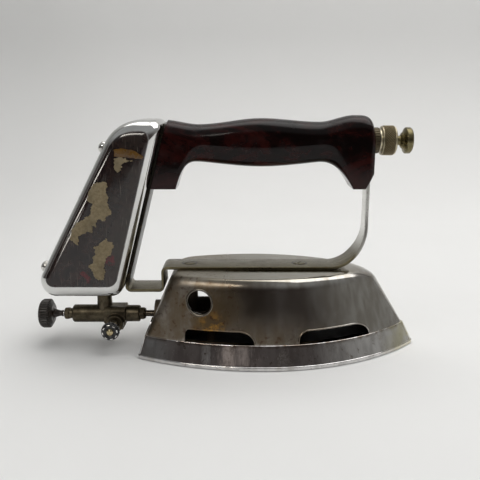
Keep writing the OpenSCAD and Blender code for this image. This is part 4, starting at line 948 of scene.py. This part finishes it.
SCRAPS = {  # outlines (x, z) on the tank's near face
    "scrap_top": [
        (-108.0, 135.8), (-103.8, 136.7), (-96.1, 134.0), (-101.9, 133.6), (-103.5, 131.7), (-104.2, 128.6),
        (-105.8, 127.0), (-107.8, 128.1), (-108.4, 131.7)],
    "scrap_large": [
        (-122.4, 119.7), (-117.1, 120.4), (-113.9, 120.7), (-113.2, 118.1), (-114.8, 114.4), (-113.4, 111.8),
        (-113.8, 107.5), (-112.7, 103.2), (-111.2, 101.6), (-111.4, 98.9), (-115.1, 97.9), (-116.4, 94.6),
        (-120.0, 96.2), (-121.7, 94.6), (-122.4, 90.8), (-125.0, 91.9), (-124.8, 87.0), (-128.5, 87.5),
        (-130.7, 86.4), (-134.0, 84.8), (-134.6, 78.8), (-136.4, 79.9), (-138.2, 81.5), (-140.0, 82.1),
        (-139.2, 85.9), (-137.7, 90.3), (-134.4, 94.1), (-130.1, 96.2), (-127.8, 97.9), (-124.6, 99.5),
        (-124.9, 103.2), (-123.6, 106.4), (-127.7, 108.6), (-126.0, 111.8), (-124.7, 116.0)],
    "scrap_low": [
        (-116.1, 83.2), (-114.4, 81.5), (-112.3, 81.0), (-111.3, 78.2), (-112.6, 74.9), (-113.3, 72.1), (-116.6, 69.9),
        (-117.3, 66.5), (-118.5, 63.7), (-117.7, 59.8), (-119.0, 54.7), (-122.8, 54.9), (-124.9, 56.9), (-125.8, 60.3),
        (-128.8, 64.3), (-128.2, 65.4), (-124.9, 66.5), (-125.8, 69.9), (-125.1, 71.5), (-123.4, 73.2), (-124.3, 77.1),
        (-121.5, 78.8), (-119.3, 80.4)],
}
TAPE = [(-108.2, 141.5), (-103.5, 142.2), (-95.3, 141.0), (-89.3, 136.9), (-90.4, 135.3), (-99.7, 136.3),
        (-107.9, 137.1)]


def build_scraps():
    for k, (name, outline) in enumerate(SCRAPS.items()):
        scrap(name, outline, "paper", jag=0.55, step=0.9, seed=11 + k)
    scrap("tape_strip", TAPE, "tape", jag=0.2, step=2.0, seed=31, lift=0.06)


# -------- pump and filler

def diamond(angle, h, count, pitch, depth):
    """Relief of a crossed knurl."""
    a, b = angle * count / (2 * pi), h / pitch
    crest = min(abs((a + b) % 1 - 0.5), abs((a - b) % 1 - 0.5)) * 2
    return depth * (clamp(crest * 1.6) - 1)


def ridges(angle, count, depth):
    """Relief of straight ridges."""
    t = abs((angle * count / (2 * pi)) % 1 - 0.5) * 2
    return -depth * (1 - clamp(t * 1.6))


CAP_X, CAP_LENGTH, CAP_R = HANDLE_FRONT + 5.5, 10.2, 10.0
BAND = (1.61, 8.3)               # where the cap's knurl starts and ends, from the cap's rear
FILLER_Z, FILLER_BACK = 128.0, 17.5         # height of the filler, and its place behind the tank's front


def build_pump():
    nut = rounded([(7.55, 0), (8.2, 0), (8.7, 0.4), (8.7, 3.8), (8.3, 4.4), (7.55, 4.4)], 0.3)
    lathe("ring_nut", refined(nut, 0.5), (HANDLE_FRONT, 0, PUMP_Z), RIGHT, 208, "collar", "barrel_ring_nut",
          lambda t, h, r: ridges(t, 26, 0.22) if r > 8.5 else 0)

    start, end = BAND
    profile = rounded([(7.6, 0), (8.8, 0), (9.6, 0.35), (9.75, 0.75), (9.55, 1.15), (9.35, 1.25)], 0.2)
    profile += [(9.35 + 0.65 * ease(k / 3), 1.25 + 0.12 * k) for k in range(1, 4)]
    profile += [(CAP_R, start + 0.2 * k) for k in range(1, 34)] + [(9.75, 8.4), (9.4, 8.52)]
    profile += rounded([(9.35, 8.6), (9.55, 9.0), (9.35, 9.5), (8.3, 10.1), (7.0, CAP_LENGTH), (3.0, CAP_LENGTH),
                        (2.2, 9.7), (1.98, 9.3), (1.98, 7.2)], 0.3)
    cap = lathe("knurled_cap", profile, (CAP_X, 0, PUMP_Z), RIGHT, 440, "pump knurl", "pump_cap", angle=30,
                relief=lambda t, h, r: diamond(t, h - start, 36, 1.65, 0.5) if start < h < end and r > 9.8 else 0)
    for face in cap.data.polygons:
        if start - 0.3 < face.center.x / MM - CAP_X < end + 0.2:
            face.material_index = 1

    pull = rounded([(0, 0), (3.1, 0), (3.1, 1.5), (3.5, 2.3), (4.9, 3.0), (5.6, 3.9), (6.9, 4.7), (8.2, 5.2),
                    (8.8, 5.8), (8.8, 8.8), (7.9, 9.8), (7.0, 10), (0, 10)], 0.25)
    lathe("pull_knob", refined(pull, 1.0), (CAP_X + CAP_LENGTH + 0.8, 0, PUMP_Z), RIGHT, 128, "pull", "pump_knob",
          body="pump_plunger")


def build_filler():
    x, y, z = origin = (front_x(FILLER_Z) - FILLER_BACK, TANK_HALF, FILLER_Z)
    head = rounded([(0, 3), (8.9, 3), (9.5, 3.6), (9.5, 7.0), (8.8, 8.0), (7.1, 9), (0, 9)], 0.45)
    plug = lathe("screw_plug", refined(head, 0.6), origin, FAR, 240, "fitting", "filler_plug",
                 lambda t, h, r: ridges(t, 60, 0.3) * ease((7.3 - h) / 0.6) if r > 9.2 and 3.4 < h else 0,
                 angle=30, body="filler_cap")
    slit = [(x - 12, z - 1), (x + 12, z - 1), (x + 12, z + 1), (x - 12, z + 1)]
    cut(plug, prism(slit, y + 7.2, y + 12, along_y), angle=30)
    thread = [(0, -4), (5.2, -4)] + [(5.88 - 0.5 * (k % 2), -3.6 + 0.44 * k) for k in range(15)]
    lathe("plug_thread", thread + [(5.6, 3.1), (0, 3.1)], origin, FAR, 64, "fitting", angle=20, body="filler_cap")


# -------- valve, knobs and nuts

BARREL_X, PIPE_X = -147.9, -125.1           # rear end of the valve's barrel, and the outlet pipe
LIGHT_X, LIGHT_Y, LIGHT_Z = -116.5, -12.5, 17.8     # end of the lighting valve's boss
BLOCK = ((-124.8, 6.4), (-122.4, 10.6), (-112.0, 10.6), (-109.6, 6.4))     # x and depth of its sections
FLARE_X = -99.8                             # where the generator's nut starts


def hexagon(flat):
    """Relief that turns a round profile into a hexagon, given half the width across its flats."""
    return lambda t, h, r: min(0, flat / cos((t % (pi / 3)) - pi / 6) - r)


def block_section(x, half, low, high, chamfer):
    pts = [(half, low + chamfer), (half, high - chamfer), (half - chamfer, high), (-half + chamfer, high),
           (-half, high - chamfer), (-half, low + chamfer), (-half + chamfer, low), (half - chamfer, low)]
    return [(x, y, z) for y, z in pts]


def fused(obj, voxel, rounds):
    """Merges a piece's overlapping solids into one skin with softened inner corners."""
    mod = obj.modifiers.new("merge", "REMESH")
    mod.mode, mod.voxel_size, mod.use_smooth_shade = "VOXEL", voxel * MM, True
    soft = obj.modifiers.new("soften", "SMOOTH")
    soft.factor, soft.iterations = 0.5, rounds
    applied(obj)
    smooth(obj.data, 50)


def build_valve():
    barrel = rounded([(0, 0), (5.55, 0), (6.35, 0.8), (6.35, 25), (0, 25)], 0.3)
    lathe("valve_barrel", barrel, (BARREL_X, 0, VALVE_Z), RIGHT, 96, "valve")

    block = loft([block_section(x, 7.5, VALVE_Z - low, VALVE_Z + 6.4, 2.2) for x, low in BLOCK])
    front = turned(rounded([(0, 0), (5.95, 0), (5.95, 16.8), (5.3, 17.4), (0, 17.4)], 0.3), (-117.2, 0, VALVE_Z),
                   RIGHT, 96)
    boss = turned([(0, 0), (6.2, 0), (6.2, 5.0), (5.8, 5.5), (0, 5.5)], (LIGHT_X, -7.0, LIGHT_Z), NEAR, 72)
    socket = turned([(0, 0), (5.3, 0), (5.3, 9.2), (0, 9.2)], (PIPE_X, 0, VALVE_Z), UP, 72)
    stub = turned([(0, 0), (6.35, 0), (6.35, 8), (0, 8)], (-125.5, 0, VALVE_Z), RIGHT, 72)
    fused(piece("valve_casting", joined(block, front, boss, socket, stub), "valve", "valve_body"), voxel=0.3, rounds=5)

    pipe = rounded([(0, 30.4), (5.3, 30.4), (5.3, 31.0), (5.15, 31.4), (5.1, 40.2), (5.4, 40.9), (5.4, 41.4),
                    (0, 41.4)], 0.3)
    lathe("tank_pipe", refined(pipe, 0.8), (PIPE_X, 0, 0), UP, 96, "valve", "outlet_pipe")

    gland = [(0, 0.4), (3.6, 0.4), (3.7, 2.3)]
    gland += rounded([(3.7, 2.3), (3.9, 2.6), (4.6, 3.4), (4.6, 5.2), (3.7, 6.2), (2.0, 6.2), (1.68, 5.9),
                      (1.68, 4)], 0.35)
    small, wide = hexagon(4.0), hexagon(4.1)
    for name, origin, way in (("fuel", (BARREL_X, 0, VALVE_Z), LEFT), ("lighting", (LIGHT_X, LIGHT_Y, LIGHT_Z), NEAR)):
        lathe(name + "_gland", refined(gland, 0.5), origin, way, 180, "valve", name + "_packing_nut",
              lambda t, h, r: small(t, h, r) if h > 2.5 and r > 3.9 else 0, angle=30)

    nut = [(0, 0), (4.6, 0)] + rounded([(4.6, 0), (4.7, 0.4), (4.7, 2.5), (4.1, 2.9), (3.6, 4.0), (2.35, 4.0)], 0.3)
    lathe("flare_nut", refined(nut, 0.4), (FLARE_X, 0, VALVE_Z), RIGHT, 180, "valve", "generator_nut",
          lambda t, h, r: wide(t, h, r) if r > 4.0 else 0, angle=30)


def hand_wheel(name, origin, way, profile, looks, count, depth, grip, dashes=None):
    """A knurled hand wheel with looks for its rim, its hub and a ring of worn dashes, partly a painted highlight. The
    knurl's place is two distances along the axis and a radius; the dashes' is two radii, a distance, their number and
    their share."""
    start, end, rim = grip

    def relief(t, h, r):
        return ridges(t, count, depth) * ease((h - start) / 0.8) * ease((end - h) / 0.8) if r > rim else 0

    wheel = lathe(name + "_wheel_grip", refined(profile, 0.55), origin, way, count * 10, looks, name + "_knob",
                  relief, angle=32, body=name + "_wheel")
    d, u, v = axes(way)
    for face in wheel.data.polygons:
        at = face.center / MM - Vector(origin)
        h = at.dot(d)
        r = (at - d * h).length
        t = atan2(at.dot(v), at.dot(u)) % (2 * pi)
        if h < start - 0.4 and r < rim * 0.75:
            face.material_index = 1
        # faces of the pale dashes: worn metal that also stands in for highlights
        elif dashes and dashes[0] < r < dashes[1] and h > dashes[2] and (t * dashes[3] / (2 * pi)) % 1 < dashes[4]:
            face.material_index = 2


def wheel_screw(name, origin, way, r, foot, turn):
    """A domed screw with a slit, in the middle of a hand wheel."""
    dome = [(0, -1.2), (1.2, -1.2), (1.2, foot[1]), (r * foot[0], foot[1])]
    dome += [(r * 0.92 * cos(rad(a)), 0.15 + r * 0.38 * sin(rad(a))) for a in range(0, 90, 10)]
    screw = lathe(name + "_wheel_screw", dome + [(0, 0.15 + r * 0.38)], origin, way, 64, "screw",
                  name + "_knob_screw", body=name + "_wheel")
    d, u, _ = axes(way)
    u = Matrix.Rotation(rad(turn), 3, d) @ u
    v, o = d.cross(u), Vector(origin)
    cut(screw, prism([(-5, -0.32), (5, -0.32), (5, 0.32), (-5, 0.32)], r * 0.24, r,
                     lambda p, h: tuple(o + u * p[0] + v * p[1] + d * h)))


def build_knobs():
    x, y = -155.3, -19.9                    # where the fuel wheel and the lighting wheel start
    fuel = rounded([(1.9, 0), (2.4, 0.2), (2.0, 1.6), (2.2, 3.2), (2.9, 5.2), (3.6, 6.6), (5.0, 6.95), (6.7, 6.95),
                    (10.4, 9.3), (10.4, 13.6), (9.8, 15.0), (8.7, 15.9), (7.5, 16.3), (5.7, 16.3), (5.0, 15.6),
                    (0, 15.5)], 0.4)
    hand_wheel("fuel", (x, 0, VALVE_Z), LEFT, fuel, "fuel_knob hub", count=34, depth=0.62,
               grip=(8.2, 15.4, 8.6))
    small = rounded([(1.75, 0), (2.3, 0.1), (2.5, 1.4), (2.9, 2.3), (4.4, 2.5), (5.7, 3.0), (6.3, 3.8), (6.3, 5.9),
                     (6.0, 6.9), (5.3, 7.6), (4.2, 7.8), (3.3, 7.5), (2.8, 7.0), (0, 7.0)], 0.4)
    hand_wheel("lighting", (LIGHT_X, y, LIGHT_Z), NEAR, small, "enamel hub worn", count=24, depth=0.5,
               grip=(3.0, 7.2, 5.5), dashes=(4.72, 5.3, 6.9, 8, 0.46))
    wheel_screw("fuel", (x - 15.5, 0, VALVE_Z), LEFT, r=3.4, foot=(0.8, 0), turn=30)
    wheel_screw("lighting", (LIGHT_X, y - 7.0, LIGHT_Z), NEAR, r=2.6, foot=(0.9, -0.1), turn=55)


# -------- carried-over solids

CAD_LOOKS = {
    "iron": "burner", "pump": "pump_barrel", "leather": "pump_cup", "gasket": "filler_gasket",
    "tube": "generator_tube", "cord": "fuel_packing lighting_packing",
    "steel": "pump_rod check_ball fuel_needle lighting_needle",
    "fitting": "cup_retainer check_valve tank_pump_bush tank_outlet_bush filler_bush gas_tip",
}


def dress_solids():
    for look, nodes in CAD_LOOKS.items():
        for node in nodes.split():
            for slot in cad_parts[node].material_slots:
                slot.material = LOOK[look]


# -------- studio

DIM = (0.065, 0.057, 0.054)                 # the dim room in front of the object
GLOWS = [  # direction, size and colour of soft lighter places in the dim front
    ((-0.25, -0.95, 0.2), 0.1, (0.26, 0.225, 0.205)),
    ((-0.12, -0.97, 0.2), 0.09, (0.23, 0.2, 0.185)),
    ((-0.02, -0.98, 0.18), 0.07, (0.095, 0.08, 0.075)),
    ((0.22, -0.96, 0.16), 0.06, (0.21, 0.2, 0.195)),
    ((-0.42, -0.9, 0.17), 0.05, (0.15, 0.145, 0.14)),
    ((-0.8, -0.6, 0.12), 0.25, (0.1, 0.1, 0.098))]
LAMPS = [  # direction, distance, width, height and strength of small lamps seen only in reflections
    ((-0.36, -0.7, 0.62), 1.7, 0.8, 0.17, 14.0),
    ((-0.765, -0.62, 0.172), 2.0, 0.36, 0.07, 20.0),
    ((-0.785, -0.61, 0.095), 2.0, 0.36, 0.075, 20.0),
    ((-0.675, -0.738, -0.02), 2.0, 0.36, 0.075, 20.0)]
LAMP_TARGET = Vector((-0.06, 0, 0.1))
ROOM = Sizes(half=3.0, front=-2.2, dim=-1.1, back=0.42, bend=0.28, wall=0.7, top=2.4)    # the sweep, in metres


def sheet(name, verts, faces, material):
    """A part of the stage, in metres."""
    mesh = bpy.data.meshes.new(name)
    mesh.from_pydata(verts, [], faces)
    mesh.shade_smooth()
    mesh.materials.append(material)
    obj = linked(name, mesh)
    return obj


def card(name, corners, colour, strength):
    """A glowing card that only reflections show."""
    m = bpy.data.materials.new(name)
    m.use_nodes = True
    m.node_tree.nodes.clear()
    n = Nodes(m.node_tree, "Object")
    n.put(n.value("Emission", {"Color": colour, "Strength": strength}), n.node("OutputMaterial").inputs[0])
    obj = sheet(name, corners, [(0, 1, 2, 3)], m)
    for ray in ("camera", "diffuse", "shadow", "transmission", "volume_scatter"):
        setattr(obj, "visible_" + ray, False)
    return obj


def build_sweep():
    """Floor and backdrop in one curved sheet, with painted shade that makes it a little darker up the backdrop and to
    the left. The far floor is as pale to the camera as the near one."""
    r = ROOM
    profile = [(r.front, 0), (r.back, 0)]
    profile += [(r.back + r.bend * sin(rad(a)), r.bend * (1 - cos(rad(a)))) for a in range(9, 91, 9)]
    profile += [(r.wall, r.top)]
    verts = [(x, y, z - 0.0002) for y, z in profile for x in (-r.half, r.half)]
    faces = [(2 * i, 2 * i + 1, 2 * i + 3, 2 * i + 2) for i in range(len(profile) - 1)]
    s = Shader("sweep_paper", Specular_IOR_Level=0.15)
    # painted shade: the paper is darker to the left and up the backdrop
    dark = s.x.ramp(-0.12, -0.42) * 0.22 | s.z.ramp(0.1, 0.42) * 0.12
    far = s.y.ramp(-0.5, -1.3) | abs(s.x).ramp(0.9, 1.6)
    s.put(far * s.value("LightPath", socket="Is Camera Ray"), s.bsdf["Emission Strength"])
    s.put((0.36, 0.366, 0.36), s.bsdf["Emission Color"])
    colour = s.coats((0.79, 0.79, 0.785), (s.noise(14, 3), (0.77, 0.77, 0.765)), (dark, (0.52, 0.525, 0.52)))
    sheet("sweep", verts, faces, s.finish(colour, 0.9))


def area_light(name, at, look_at, size, power, colour):
    data = bpy.data.lights.new(name, "AREA")
    data.shape, data.size, data.size_y = "RECTANGLE", size[0], size[1]
    data.energy, data.color = power, colour
    obj = linked(name, data)
    obj.location = at
    obj.rotation_euler = (Vector(look_at) - Vector(at)).to_track_quat("-Z", "Y").to_euler()
    return obj


def build_world():
    """Pale to the camera; to everything else pale behind and above, dim in front and lighter to the right."""
    world = bpy.data.worlds.new("studio")
    bpy.context.scene.world = world
    world.use_nodes = True
    world.node_tree.nodes.clear()
    n = Nodes(world.node_tree, "Generated")
    front = n.coats(DIM, (n.x.ramp(0.45, 1.1), (0.34, 0.34, 0.325)))
    for way, size, colour in GLOWS:
        away = n.vector("DISTANCE", n.place, Vector(way).normalized())
        front = n.coats(front, (away.ramp(size, 0.0), colour))
    seen = n.coats(front, (n.z.ramp(0.28, 0.7), (0.34, 0.345, 0.345)), (n.y.ramp(0.0, 0.5), (0.66, 0.67, 0.67)),
                   (n.value("LightPath", socket="Is Camera Ray"), (0.7, 0.71, 0.7)))
    n.put(n.value("Background", {"Color": seen}), n.node("OutputWorld").inputs[0])


def build_stage():
    build_sweep()
    build_world()
    # the dim room beyond the pale floor's front edge, and its lamps; all but the first light the tank alone
    floor = [(-ROOM.half, ROOM.dim), (ROOM.half, ROOM.dim), (ROOM.half, ROOM.front), (-ROOM.half, ROOM.front)]
    card("dim_floor", [(x, y, 0.0005) for x, y in floor], DIM, 1.0)
    tank_only = bpy.data.collections.new("tank_only")
    tank_only.objects.link(bpy.data.objects["tank_body"])
    for k, (way, far, width, height, strength) in enumerate(LAMPS):
        d = Vector(way).normalized()
        across = d.cross(Vector(UP)).normalized() * width / 2
        up = across.cross(d).normalized() * height / 2
        middle = LAMP_TARGET + d * far
        corners = [middle - across - up, middle + across - up, middle + across + up, middle - across + up]
        lamp = card("lamp_%d" % k, corners, (1.0, 0.95, 0.87), strength)
        if k:
            lamp.light_linking.receiver_collection = tank_only
    area_light("overhead", at=(0.22, 0.42, 1.4), look_at=(0.0, 0.15, 0.0), size=(2.4, 1.2), power=23.0,
               colour=(1.0, 0.99, 0.97))
    wash = area_light("wall_wash", at=(0.0, -0.5, 1.5), look_at=(0.0, 0.7, 0.35), size=(2.2, 0.8), power=6.5,
                      colour=(1.0, 0.995, 0.98))
    wash.visible_glossy = False


def build_camera():
    data = bpy.data.cameras.new("camera")
    data.sensor_width, data.lens = 36, 45
    cam = linked("camera", data)
    cam.location = (-0.0277, -0.41, 0.17523)
    cam.rotation_euler = (rad(76.414), 0, 0)
    bpy.context.scene.camera = cam


for build in (build_camera, build_shell, build_sole, build_strap, build_handle, build_tank, build_scraps, build_pump,
              build_filler, build_valve, build_knobs, dress_solids, build_stage):
    build()
bpy.context.scene.view_settings.view_transform = "Standard"
